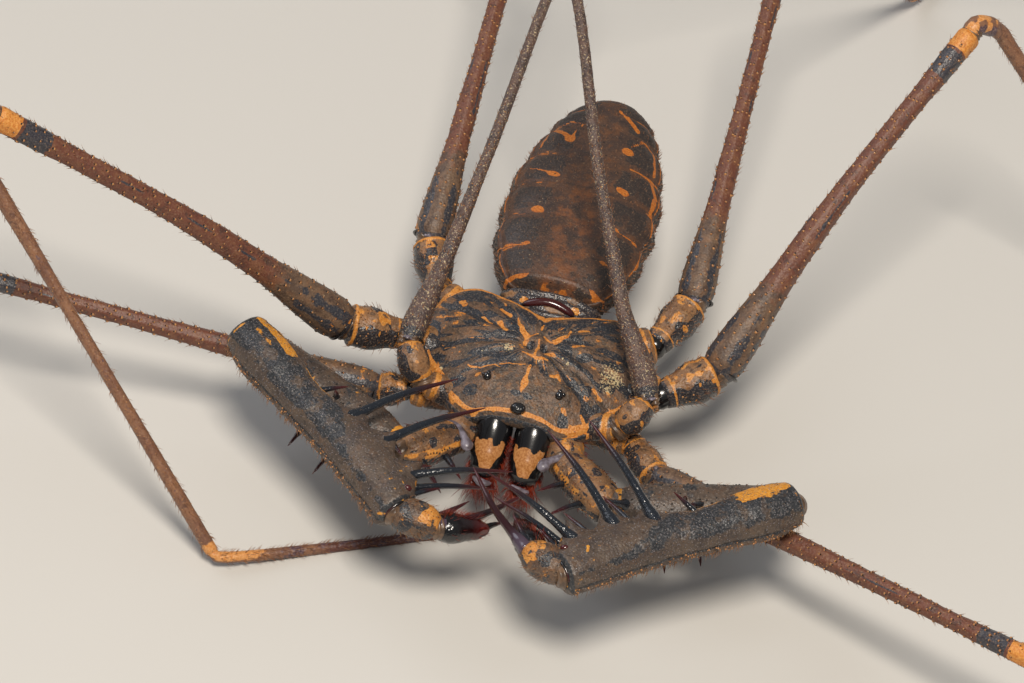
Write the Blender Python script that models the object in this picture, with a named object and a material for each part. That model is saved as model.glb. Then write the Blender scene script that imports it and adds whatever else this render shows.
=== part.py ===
# Heterophrynus armiger, a whip spider, as a life-size still model.
# Lengths are in millimetres until mesh_object places them in metres, +Z is up and the floor is z = 0.
# The animal faces -Y, so its right side is at -X. The model's origin is the bottom centre of its box.

from math import cos, pi, radians, sin, sqrt

import bmesh
import bpy
from mathutils import Vector

MM = 0.001
UP = Vector((0, 0, 1))
GAP = 0.3                 # clearance that touching pieces keep

# Body
BODY_HEIGHT = 8.0         # floor to the level of the carapace's margin
CARAPACE_CENTRE = (0.0, 0.6)
CARAPACE_DOME = 1.35      # middle of the carapace above that level
CARAPACE_DEPTH = 1.0      # thickness of its rim
CARAPACE_SIDES = 36
FOVEA = (0.0, 1.2, 0.45)  # x, y and depth of the pit in its middle

# One half of the carapace's margin, from the front centre round to the rear notch: x, y, z above the level
CARAPACE_MARGIN = (
    (0.0, -5.0, 0.0),
    (1.7, -4.9, -0.3),
    (3.2, -4.9, -0.9),
    (4.7, -3.9, -0.9),
    (6.0, -2.2, -0.8),
    (7.1, -0.6, -0.7),
    (7.7, 1.5, -0.5),
    (7.5, 3.5, -0.2),
    (6.6, 5.1, 0.0),
    (5.1, 5.8, 0.2),
    (3.4, 5.3, 0.5),
    (1.6, 4.5, 0.8),
    (0.0, 3.8, 0.9),
)

# Rear edges of the abdomen's plates, along Y, and its half width there
ABDOMEN_PLATES = (
    (5.9, 2.4),
    (6.5, 3.5),
    (9.0, 4.75),
    (12.1, 5.2),
    (15.3, 5.3),
    (18.4, 5.1),
    (21.6, 4.4),
    (23.4, 3.75),
    (24.6, 2.95),
    (25.3, 2.1),
    (25.7, 1.15),
)
ABDOMEN_LEAN = 0.25       # how far its tip lies to the animal's left
ABDOMEN_TOP = 2.1         # middle line above the body level
ABDOMEN_BELLY = 1.9       # and below it
PLATE_STEP = 0.16         # how far each plate's rear edge stands over the next one

# Coxae: inner end, outer end and thickness, right side; the left one mirrors it
COXAE = {
    "whip": ((-1.6, -2.6, 5.9), (-6.4, -2.9, 7.2), 2.0),
    "leg_2": ((-1.4, -1.2, 5.6), (-7.4, -2.5, 5.9), 2.3),
    "leg_3": ((-1.3, 0.7, 5.6), (-8.6, 0.9, 7.3), 2.7),
    "leg_4": ((-1.3, 2.4, 5.7), (-7.3, 5.4, 7.2), 2.8),
}

# Walking legs: femur start, femur azimuth and rise, tibia azimuth, foot azimuth, in degrees from +X,
# and how far the femur arches
WALKING = {
    "leg_2_right": ((-9.3, -2.7, 5.5), 188.7, 12, 211, 208, 0.1),
    "leg_2_left": ((9.4, -4.8, 5.5), -24.5, 8, -44, -42, 0.1),
    "leg_3_right": ((-12.4, -0.2, 8.0), 194.9, 35.6, -28.7, 27.2, 0.9),
    "leg_3_left": ((11.6, 3.1, 8.0), 60.9, 35.4, 6, -8, 1.5),
    "leg_4_right": ((-8.9, 9.2, 8.0), 89.3, 28, 125, 122, 0.3),
    "leg_4_left": ((9.0, 9.0, 8.0), 89.2, 28, 68, 66, 0.3),
}
# Lengths of femur, tibia with patella, and foot, thicknesses of trochanter, femur base, knee, tibia end and toe
LEG_SIZES = {
    "leg_2": (28.0, 28.4, 15.5, 2.0, 2.2, 1.3, 0.8, 0.62),
    "leg_3": (28.0, 30.9, 17.0, 2.6, 2.75, 1.6, 0.86, 0.66),
    "leg_4": (26.0, 31.5, 15.5, 2.4, 2.5, 1.5, 0.84, 0.66),
}
# Thickness of a femur along it, as a share of its base's
FEMUR_TAPER = ((0.0, 0.76), (0.05, 1.0), (0.32, 0.62), (0.6, 0.49), (0.78, 0.475), (0.93, 0.555), (1.0, 0.59))
ANKLE_HEIGHT = 1.1
SOLE = 0.22               # height of the foot's middle line where its underside lies flat on the floor
PATELLA = 2.3             # length of a leg's patella, which makes the turn at the knee

# Whips: femur start, femur azimuth and rise, and the points that tibia and tarsus then pass through
WHIPS = {
    "whip_right": (
        (-8.0, -1.3, 8.8), 83.3, 24,
        ((-20, 40, 27), (-45, 47, 26), (-75, 46, 19), (-100, 34, 11), (-116, 14, 5), (-121, -8, 2)),
    ),
    "whip_left": (
        (7.9, -1.6, 8.8), 117.3, 31,
        ((8, 37, 30.5), (34, 48, 29), (64, 51, 22), (91, 43, 14), (110, 27, 7), (119, 5, 2.2)),
    ),
}
WHIP_FEMUR = 36.0
WHIP_SIZES = (1.75, 0.76, 0.68, 0.4)    # thickness at femur base, knee, end of tibia and tip
WHIP_BOW = {"right": 0.26, "left": -0.6}  # how far the femur bends to the right-hand side of its way

# Pedipalps: ends of trochanter, femur, patella, tibia and tarsus
PALPS = {
    "pedipalp_right": {
        "coxa": ((-2.9, -2.9, 5.6), (-3.6, -5.9, 5.7)),
        "trochanter": ((-3.4, -5.6, 5.9), (-6.9, -8.5, 6.2)),
        "femur": ((-6.5, -8.2, 6.2), (-17.9, -2.9, 7.0)),
        "patella": ((-18.1, -4.8, 10.0), (-5.2, -15.9, 8.5)),
        "tibia": ((-5.6, -15.6, 8.5), (-2.4, -15.8, 8.1)),
        "tarsus": ((-2.8, -15.7, 7.9), (0.4, -14.1, 7.2)),
        "claw": ((0.0, -14.3, 7.3), (1.1, -13.3, 7.2)),
    },
    "pedipalp_left": {
        "coxa": ((2.9, -2.9, 5.6), (3.7, -5.9, 5.7)),
        "trochanter": ((3.5, -5.6, 5.9), (7.4, -9.2, 6.1)),
        "femur": ((7.0, -8.9, 6.1), (18.2, -5.8, 6.4)),
        "patella": ((18.5, -7.8, 9.3), (5.6, -18.6, 9.4)),
        "tibia": ((5.9, -18.3, 9.4), (3.0, -17.0, 9.3)),
        "tarsus": ((3.8, -17.0, 9.0), (2.0, -13.6, 8.0)),
        "claw": ((2.2, -14.0, 8.1), (1.6, -12.6, 7.8)),
    },
}
PALP_WIDTH = 3.5          # thickness of the femur
# Width and height of the patella along it, and how far it leans to its spined side
PATELLA_SHAPE = (
    (0.0, 3.0, 2.8, 0.0),
    (0.15, 3.4, 3.1, 0.0),
    (0.4, 2.75, 2.6, 0.0),
    (0.55, 2.95, 2.7, 0.3),
    (0.68, 3.6, 2.9, 0.65),
    (0.9, 3.5, 2.9, 0.55),
    (1.0, 2.8, 2.6, 0.1),
)
THORN_ROOT = 1.3          # depth to which a thorn's root is sunk in what carries it
THORN_BOW = 0.06          # how far a thorn bows, as a share of its length

# Thorns of a pedipalp, by carrier: share of the carrier's length, height on it, length, tilt towards
# its far end from straight across, rise and thickness
THORNS = {
    "trochanter": (
        (0.35, -0.2, 2.2, 0, 6, 0.6),
        (0.70, -0.3, 2.6, 0, 2, 0.6),
    ),
    "femur": (
        (0.10, 0.7, 1.9, -60, 24, 0.6),
        (0.14, 0.1, 1.7, -35, -6, 0.6),
        (0.52, 0.9, 0.9, -50, 24, 0.52),
        (0.30, -0.9, 2.6, 0, -14, 0.6),
        (0.50, -0.9, 2.0, 0, -14, 0.6),
    ),
    "patella": (
        (0.39, 0.5, 1.6, 20, 6, 0.52),
        (0.57, 0.6, 8.0, 2, 0, 0.68),
        (0.72, 0.6, 7.5, 4, 0, 0.68),
        (0.87, 0.5, 6.6, 24, 0, 0.64),
        (0.88, -0.4, 5.8, 22, -6, 0.54),
        (0.95, 0.2, 1.7, 10, 0, 0.52),
        (0.60, -0.7, 4.0, 4, -14, 0.6),
        (0.76, -0.8, 3.3, 8, -14, 0.6),
    ),
    "tibia": (
        (0.94, 0.05, 5.6, 3, 0, 0.66),
        (0.55, -0.15, 2.6, 3, 2, 0.58),
    ),
}
THORN_RISE = {"right": -3, "left": 8}     # each pedipalp is turned a little about its own length

# Colour in linear values, and roughness, by the start or end of a piece's name
FINISHES = {
    "eyes": ((0.012, 0.012, 0.014), 0.12),
    "carapace": ((0.11, 0.085, 0.066), 0.5),
    "abdomen": ((0.09, 0.048, 0.03), 0.5),
    "sternum": ((0.16, 0.10, 0.062), 0.5),
    "pedicel": ((0.16, 0.09, 0.055), 0.5),
    "chelicera": ((0.05, 0.042, 0.042), 0.25),
    "fang": ((0.05, 0.008, 0.006), 0.22),
    "_coxa": ((0.18, 0.13, 0.11), 0.45),
    "pedipalp_right_trochanter": ((0.2, 0.115, 0.065), 0.5),
    "pedipalp_left_trochanter": ((0.2, 0.115, 0.065), 0.5),
    "_trochanter": ((0.22, 0.125, 0.068), 0.45),
    "pedipalp_right_tarsus": ((0.02, 0.006, 0.006), 0.25),
    "pedipalp_left_tarsus": ((0.02, 0.006, 0.006), 0.25),
    "pedipalp_right_tibia": ((0.17, 0.09, 0.045), 0.5),
    "pedipalp_left_tibia": ((0.17, 0.09, 0.045), 0.5),
    "pedipalp": ((0.11, 0.095, 0.088), 0.5),
    "whip": ((0.12, 0.06, 0.042), 0.5),
    "_femur": ((0.15, 0.065, 0.034), 0.45),
    "_tibia": ((0.2, 0.105, 0.055), 0.5),
    "_foot": ((0.1, 0.045, 0.032), 0.55),
}


def bearing(azimuth, rise):
    """The unit direction at an azimuth from +X and a rise above the floor, in degrees."""
    across = cos(radians(rise))
    return Vector((cos(radians(azimuth)) * across, sin(radians(azimuth)) * across, sin(radians(rise))))


def smooth_line(points, steps=12):
    """Points along a smooth curve through the given ones, by Catmull-Rom."""
    given = [Vector(point) for point in points]
    if len(given) == 2:
        return given
    ends = [2 * given[0] - given[1]] + given + [2 * given[-1] - given[-2]]
    line = []
    for before, start, end, after in zip(ends, ends[1:], ends[2:], ends[3:]):
        for step in range(steps):
            t = step / steps
            line.append(0.5 * (
                2 * start
                + (end - before) * t
                + (2 * before - 5 * start + 4 * end - after) * t ** 2
                + (3 * start - before - 3 * end + after) * t ** 3
            ))
    return line + [given[-1]]


def lengths_along(line):
    total = [0.0]
    for start, end in zip(line, line[1:]):
        total.append(total[-1] + (end - start).length)
    return total


def spot_on(line, total, distance):
    """The place and the direction at a distance along a line."""
    index = 0
    while index < len(line) - 2 and total[index + 1] < distance:
        index += 1
    start = line[index]
    end = line[index + 1]
    part = (distance - total[index]) / (total[index + 1] - total[index])
    before = line[max(index - 1, 0)]
    after = line[min(index + 2, len(line) - 1)]
    direction = (start - before).lerp(end - start, 0.5 + part / 2) if part < 0.5 else \
        (end - start).lerp(after - end, (part - 0.5) / 2)
    if direction.length < 1e-6:
        direction = end - start
    return start.lerp(end, part), direction.normalized()


def profile_at(profile, fraction):
    """Width, height, sideways and upward shift of a limb at a fraction of its length."""
    for low, high in zip(profile, profile[1:]):
        if fraction <= high[0]:
            part = (fraction - low[0]) / (high[0] - low[0])
            part = part * part * (3 - 2 * part)
            return [a + (b - a) * part for a, b in zip(low[1:], high[1:])]
    return list(profile[-1][1:])


def ring(centre, side, top, width, height, sides):
    """The corners of one oval cross-section, with a flat at its underside."""
    corners = []
    for index in range(sides):
        angle = 2 * pi * (index + 0.5) / sides
        corners.append(centre + side * (width / 2 * sin(angle)) - top * (height / 2 * cos(angle)))
    return corners


def loft(rings, name):
    """A closed mesh through rings of equal counts, with a fan at each end."""
    form = bmesh.new()
    levels = [[form.verts.new(corner) for corner in corners] for corners in rings]
    count = len(levels[0])
    for low, high in zip(levels, levels[1:]):
        for index in range(count):
            following = (index + 1) % count
            form.faces.new((low[index], low[following], high[following], high[index]))
    for level in (levels[0], levels[-1]):
        middle = form.verts.new(sum((vertex.co for vertex in level), Vector()) / count)
        for index in range(count):
            form.faces.new((level[index], level[(index + 1) % count], middle))
    return settled(form, name)


def settled(form, name):
    """The bmesh as a mesh whose faces point outwards."""
    bmesh.ops.recalc_face_normals(form, faces=form.faces)
    if form.calc_volume(signed=True) < 0:
        bmesh.ops.reverse_faces(form, faces=form.faces)
    mesh = bpy.data.meshes.new(name)
    form.to_mesh(mesh)
    form.free()
    return mesh


def limb(name, points, profile, rings=7, sides=10, ends=(0.5, 0.5), up=UP, floor=False):
    """A tapering length of leg along a line, rounded at both ends over the given lengths.

    profile holds fraction, width, height, sideways shift and upward shift.
    """
    line = smooth_line(points)
    total = lengths_along(line)
    whole = total[-1]
    places = [ends[0] * 0.12]
    places += [ends[0] + (whole - sum(ends)) * step / (rings - 1) for step in range(rings)]
    places += [whole - ends[1] * 0.12]
    corners = []
    for distance in places:
        centre, direction = spot_on(line, total, distance)
        side = direction.cross(up).normalized()
        top = side.cross(direction)
        width, height, sideways, upward = profile_at(profile, distance / whole)
        shrink = 1.0
        for near, reach in ((distance, ends[0]), (whole - distance, ends[1])):
            if near < reach:
                shrink = sqrt(1 - (1 - near / reach) ** 2)
        centre = centre + side * sideways + top * upward
        oval = ring(centre, side, top, width * shrink, height * shrink, sides)
        if floor:
            for corner in oval:
                corner.z = max(corner.z, 0.0)
        corners.append(oval)
    return loft(corners, name)


def grown(mesh):
    """A copy of a mesh with every face moved out by the clearance."""
    form = bmesh.new()
    form.from_mesh(mesh)
    form.normal_update()
    moves = [(vertex, vertex.normal * GAP * min(vertex.calc_shell_factor(), 1.5)) for vertex in form.verts]
    for vertex, move in moves:
        vertex.co += move
    return settled(form, mesh.name + "_grown")


def largest_body(mesh):
    """Removes every closed surface of a mesh but the one that holds the most."""
    form = bmesh.new()
    form.from_mesh(mesh)
    left = set(form.faces)
    bodies = []
    while left:
        found = [left.pop()]
        for face in found:
            for edge in face.edges:
                beside = edge.link_faces if len(edge.link_faces) == 2 else ()
                for other in beside:
                    if other in left:
                        left.remove(other)
                        found.append(other)
        bodies.append(found)
    if len(bodies) > 1:
        sizes = []
        for faces in bodies:
            size = 0.0
            for face in faces:
                fan = [vertex.co for vertex in face.verts]
                for second, third in zip(fan[1:], fan[2:]):
                    size += fan[0].dot(second.cross(third))
            sizes.append(size)
        keep = bodies[sizes.index(max(sizes))]
        scraps = [face for faces in bodies if faces is not keep for face in faces]
        bmesh.ops.delete(form, geom=scraps, context="FACES")
    form.to_mesh(mesh)
    form.free()


def combined(mesh, others, operation, solver="MANIFOLD"):
    """The mesh joined with, or cut by, the others, as one closed body."""
    if not others:
        return mesh
    helpers = bpy.data.collections.new("helpers")
    bpy.context.scene.collection.children.link(helpers)
    body = bpy.data.objects.new(mesh.name, mesh)
    bpy.context.scene.collection.objects.link(body)
    for other in others:
        helpers.objects.link(bpy.data.objects.new(other.name, other))
    change = body.modifiers.new("combine", "BOOLEAN")
    change.operation = operation
    change.operand_type = "COLLECTION"
    change.collection = helpers
    change.solver = solver
    bpy.context.view_layer.update()
    result = bpy.data.meshes.new_from_object(body.evaluated_get(bpy.context.evaluated_depsgraph_get()))
    result.name = mesh.name
    for helper in list(helpers.objects) + [body]:
        bpy.data.objects.remove(helper)
    bpy.data.collections.remove(helpers)
    largest_body(result)
    return result


def joined(mesh, others):
    return combined(mesh, others, "UNION")


def box_of(mesh):
    corners = [vertex.co for vertex in mesh.vertices]
    return [(min(corner[axis] for corner in corners), max(corner[axis] for corner in corners)) for axis in range(3)]


def near(mesh, other):
    """Whether the boxes of two meshes come closer than the clearance."""
    return all(
        low[0] - GAP < high[1] and high[0] - GAP < low[1]
        for low, high in zip(box_of(mesh), box_of(other))
    )


def add_form(name, mesh, shapes):
    """Keeps a mesh as a node, cut clear of every node before it by the clearance."""
    mesh.name = name
    neighbours = [grown(other) for other in shapes.values() if near(mesh, other)]
    shapes[name] = combined(mesh, neighbours, "DIFFERENCE")


def thorn(root, tip, thickness, bow, point=0.14):
    """A five-sided thorn from its root to a fine tip, its middle moved aside by the vector bow."""
    start = Vector(root)
    end = Vector(tip)
    direction = (end - start).normalized()
    side = direction.cross(UP).normalized()
    top = side.cross(direction)
    levels = []
    for share, size in ((0.0, thickness * 1.15), (0.3, thickness * 0.95), (0.65, thickness * 0.65), (1.0, point)):
        centre = start.lerp(end, share) + Vector(bow) * sin(pi * share)
        levels.append(ring(centre, side, top, size, size, 5))
    return loft(levels, "thorn")


def material(name, colour, roughness):
    """A Principled finish of the piece's own colour, given in linear values."""
    surface = bpy.data.materials.new(name)
    surface.use_nodes = True
    shader = surface.node_tree.nodes["Principled BSDF"]
    shader.inputs["Base Color"].default_value = (*colour, 1)
    shader.inputs["Roughness"].default_value = roughness
    shader.inputs["Metallic"].default_value = 0.0
    surface.diffuse_color = (*colour, 1)
    return surface


def finish_of(name):
    """Colour and roughness of the first kind of piece that a node's name begins or ends with."""
    for key, finish in FINISHES.items():
        if name.startswith(key) or name.endswith(key):
            return finish
    return FINISHES["carapace"]


def mesh_object(name, mesh, colour, roughness):
    """Places a finished mesh as a named piece of the animal."""
    for vertex in mesh.vertices:
        vertex.co *= MM
    mesh.shade_smooth()
    mesh.set_sharp_from_angle(angle=radians(40))
    mesh.materials.clear()
    mesh.materials.append(material(name + "_surface", colour, roughness))
    piece = bpy.data.objects.new(name, mesh)
    piece.parent = animal_root
    animal.objects.link(piece)
    return piece


def margin_points():
    """The whole margin of the carapace, evenly stepped round, from the front centre."""
    half = smooth_line(CARAPACE_MARGIN, 10)
    total = lengths_along(half)
    steps = CARAPACE_SIDES // 2
    right = [spot_on(half, total, total[-1] * step / steps)[0] for step in range(steps + 1)]
    left = [Vector((-point.x, point.y, point.z)) for point in reversed(right[1:-1])]
    return right + left


def carapace_height(x, y, share, edge):
    """Height of the carapace's top where share is 0 at its centre and 1 at its margin."""
    height = edge * share ** 2 + CARAPACE_DOME * (1 - share ** 2.4)
    away = sqrt((x - FOVEA[0]) ** 2 + (y - FOVEA[1]) ** 2)
    return height - FOVEA[2] * max(0.0, 1 - away / 1.1) ** 2


def make_carapace():
    """A low dome over a kidney-shaped margin, with a rolled rim and a pit in its middle."""
    margin = margin_points()
    centre = Vector((*CARAPACE_CENTRE, 0))
    rings = []
    for share, drop in ((0.5, -0.35), (0.9, -1.0), (0.985, -0.55), (1.0, -0.1)):
        level = []
        for point in margin:
            spot = centre + (point - centre) * share
            level.append(Vector((spot.x, spot.y, BODY_HEIGHT + point.z + drop * CARAPACE_DEPTH)))
        rings.append(level)
    for share in (0.97, 0.9, 0.75, 0.55, 0.35, 0.17, 0.06):
        level = []
        for point in margin:
            spot = centre + (point - centre) * share
            height = carapace_height(spot.x, spot.y, share, point.z)
            level.append(Vector((spot.x, spot.y, BODY_HEIGHT + height)))
        rings.append(level)
    return loft(rings, "carapace")


def make_abdomen():
    """A flattened oval of overlapping plates that ends in a blunt tip."""
    sides = 24
    rings = []
    for index, (along, half) in enumerate(ABDOMEN_PLATES):
        flat = min(1.0, 0.45 + half / 6)
        for step, (shift, size) in enumerate(((-0.12, PLATE_STEP), (0.12, 0.0))):
            if index in (0, len(ABDOMEN_PLATES) - 1) and step == 1:
                continue
            level = []
            for turn in range(sides):
                angle = 2 * pi * (turn + 0.5) / sides
                x = (half + size * 0.5) * sin(angle) + ABDOMEN_LEAN * (along - 5.9) / 20
                high = -cos(angle)
                rise = (ABDOMEN_TOP if high > 0 else ABDOMEN_BELLY) * flat * (half / 5.3) ** 0.35
                z = BODY_HEIGHT + high * (rise + size) + 0.02 * (along - 6)
                level.append(Vector((x, along + shift + 0.5 * high * (1 - half / 5.3), z)))
            rings.append(level)
    return loft(rings, "abdomen")


def mirrored(point):
    return Vector((-point[0], point[1], point[2]))


def sided(point, side):
    """A point of the right side, or its mirror image on the left."""
    return Vector(point) if side == "right" else mirrored(point)


def make_coxae():
    """The sternum and the coxae of the whips and walking legs, as one underside."""
    pieces = []
    for inner, outer, thick in COXAE.values():
        profile = (
            (0.0, thick * 0.7, thick * 0.6, 0, 0),
            (0.6, thick, thick * 0.9, 0, 0),
            (1.0, thick * 0.95, thick * 0.9, 0, 0),
        )
        for side in ("right", "left"):
            points = (sided(inner, side), sided(outer, side))
            pieces.append(limb("coxa", points, profile, rings=3, sides=8, ends=(0.5, 0.7)))
    sternum = limb(
        "sternum_and_coxae",
        ((0, -3.2, 5.7), (0, 4.4, 6.0)),
        ((0, 2.4, 1.6, 0, 0), (0.5, 4.4, 2.6, 0, 0), (1, 2.6, 2.2, 0, 0)),
        rings=5, sides=12, ends=(0.8, 0.8),
    )
    return joined(sternum, pieces)


def make_leg(name, shapes):
    """One walking leg: trochanter, femur, tibia with patella, and foot."""
    kind, side = name.rsplit("_", 1)
    start, azimuth, rise, tibia_azimuth, foot_azimuth, arch = WALKING[name]
    femur_length, tibia_length, foot_length, base, thigh, knee_size, ankle_size, toe_size = LEG_SIZES[kind]
    start = Vector(start)
    outward = bearing(azimuth, rise)
    knee = start + outward * femur_length
    coxa_end = sided(COXAE[kind][1], side)
    along_trochanter = (start - coxa_end).normalized()

    trochanter = limb(
        name + "_trochanter",
        (coxa_end - along_trochanter * 0.3, start.lerp(coxa_end, 0.45), start + outward * 0.3),
        (
            (0.0, base * 0.7, base * 0.7, 0, 0),
            (0.25, base * 0.8, base * 0.8, 0, 0),
            (0.6, base * 1.1, base * 1.1, 0, 0),
            (1.0, base * 0.85, base * 0.85, 0, 0),
        ),
        rings=5, ends=(0.4, 0.9),
    )
    femur = limb(
        name + "_femur",
        (start - outward * 0.3, start.lerp(knee, 0.45) + UP * arch, knee),
        [(share, thigh * size * 0.97, thigh * size * 1.03, 0, 0) for share, size in FEMUR_TAPER],
        rings=12, ends=(0.5, 0.6),
    )

    drop = knee.z - ANKLE_HEIGHT
    reach = sqrt(tibia_length ** 2 - drop ** 2)
    ankle = knee + Vector((cos(radians(tibia_azimuth)), sin(radians(tibia_azimuth)), 0)) * reach
    ankle.z = ANKLE_HEIGHT
    downward = (ankle - knee).normalized()
    turn = (outward + downward - UP * 0.6).normalized()
    bend = knee + outward * 0.7
    patella_end = bend + turn * PATELLA
    settle = patella_end + (ankle - patella_end).normalized() * 3.5
    tibia = limb(
        name + "_tibia",
        (knee - outward * 0.2, bend, patella_end, settle, ankle),
        (
            (0.0, knee_size * 0.8, knee_size * 0.8, 0, 0),
            (0.07, knee_size * 0.82, knee_size * 0.82, 0, 0),
            (0.16, knee_size * 0.62, knee_size * 0.66, 0, 0),
            (0.5, ankle_size * 0.86, ankle_size * 0.9, 0, 0),
            (1.0, ankle_size, ankle_size, 0, 0),
        ),
        rings=12, sides=8, ends=(0.3, 0.4),
    )

    forward = Vector((cos(radians(foot_azimuth)), sin(radians(foot_azimuth)), 0))
    toe = ankle + forward * foot_length
    toe.z = SOLE
    middle = ankle.lerp(toe, 0.45)
    middle.z = SOLE
    heel = ankle + downward * 0.5 + forward * 0.7
    heel.z = ANKLE_HEIGHT - 0.3
    foot = limb(
        name + "_foot",
        (ankle - downward * 0.15, heel, middle, toe),
        (
            (0.0, ankle_size * 0.85, ankle_size * 0.85, 0, 0),
            (0.3, ankle_size * 0.85, ankle_size * 0.85, 0, 0),
            (0.6, toe_size, toe_size, 0, 0),
            (1.0, toe_size * 0.8, toe_size * 0.9, 0, 0.02),
        ),
        rings=8, sides=6, ends=(0.3, 0.3), floor=True,
    )
    claws = []
    for turned in (-28, 28):
        way = Vector((cos(radians(foot_azimuth + turned)), sin(radians(foot_azimuth + turned)), 0))
        tip = toe + way * 1.0
        tip.z = 0.16
        claws.append(thorn(toe - forward * 0.4, tip, 0.34, UP * 0.12))
    foot = joined(foot, claws)

    add_form(name + "_trochanter", trochanter, shapes)
    add_form(name + "_femur", femur, shapes)
    add_form(name + "_tibia", tibia, shapes)
    add_form(name + "_foot", foot, shapes)


def make_whip(name, shapes):
    """One antenniform leg, whose long tibia and tarsus are divided into four lengths."""
    side = name.rsplit("_", 1)[1]
    start, azimuth, rise, route = WHIPS[name]
    start = Vector(start)
    outward = bearing(azimuth, rise)
    knee = start + outward * WHIP_FEMUR
    base, knee_size, tibia_size, tip_size = WHIP_SIZES
    bow = WHIP_BOW[side]
    coxa_end = sided(COXAE["whip"][1], side)
    trochanter = limb(
        name + "_trochanter",
        (coxa_end, coxa_end.lerp(start, 0.5) - Vector((0, 0.4, -0.1)), start + outward * 0.3),
        ((0, base * 0.8, base * 0.8, 0, 0), (0.5, base * 1.2, base * 1.2, 0, 0), (1, base * 0.9, base * 0.9, 0, 0)),
        rings=4, ends=(0.4, 0.7),
    )
    femur = limb(
        name + "_femur",
        (start - outward * 0.3, knee),
        (
            (0.0, base * 0.75, base * 0.75, 0, 0),
            (0.04, base * 0.97, base * 0.97, 0, 0),
            (0.2, base * 0.56, base * 0.56, bow, 0),
            (0.4, base * 0.44, base * 0.44, bow, 0),
            (0.75, base * 0.41, base * 0.41, 0, 0),
            (1.0, knee_size, knee_size, 0, 0),
        ),
        rings=14, sides=8, ends=(0.4, 0.5),
    )
    add_form(name + "_trochanter", trochanter, shapes)
    add_form(name + "_femur", femur, shapes)

    line = smooth_line([knee - outward * 0.2, knee + outward * 1.2] + [Vector(point) for point in route])
    total = lengths_along(line)
    cuts = (0.0, 0.22, 0.45, 0.73, 1.0)
    for part, (low, high) in zip(("tibia_a", "tibia_b", "tarsus_a", "tarsus_b"), zip(cuts, cuts[1:])):
        steps = 8
        first = total[-1] * low - (0.4 if low else 0)
        points = [
            spot_on(line, total, first + (total[-1] * high - first) * step / steps)[0]
            for step in range(steps + 1)
        ]
        ways = [knee_size, tibia_size, tibia_size * 0.9, tibia_size * 0.72, tip_size]
        slot = cuts.index(low)
        thick = ways[slot]
        thin = ways[slot + 1]
        piece = limb(
            name + "_" + part, points,
            ((0.0, thick, thick, 0, 0), (1.0, thin, thin, 0, 0)),
            rings=9, sides=6, ends=(0.3, 0.3),
        )
        add_form(name + "_" + part, piece, shapes)


def thorns_on(name, carrier, half_width):
    """The thorns of one length of a pedipalp, rooted along the edge that catches prey.

    half_width gives how far that edge lies from the middle at a share of the length.
    """
    side = name.rsplit("_", 1)[1]
    low, high = (Vector(end) for end in PALPS[name][carrier])
    inner_start, inner_end = (Vector(end) for end in PALPS[name]["patella" if carrier == "tibia" else carrier])
    along = inner_end - inner_start
    along.z = 0
    along.normalize()
    inner = Vector((-along.y, along.x, 0)) * (1 if side == "right" else -1)
    made = []
    for share, height, length, tilt, rise, thickness in THORNS[carrier]:
        across = inner * cos(radians(tilt)) + along * sin(radians(tilt))
        lean = radians(rise + THORN_RISE[side])
        way = across * cos(lean) + UP * sin(lean)
        root = low + (high - low) * share + inner * (half_width(share) - THORN_ROOT) + UP * height
        bow = (along if carrier == "tibia" else UP) * THORN_BOW * length
        made.append(thorn(root, root + way * (length + THORN_ROOT), thickness, bow))
    return made


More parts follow.
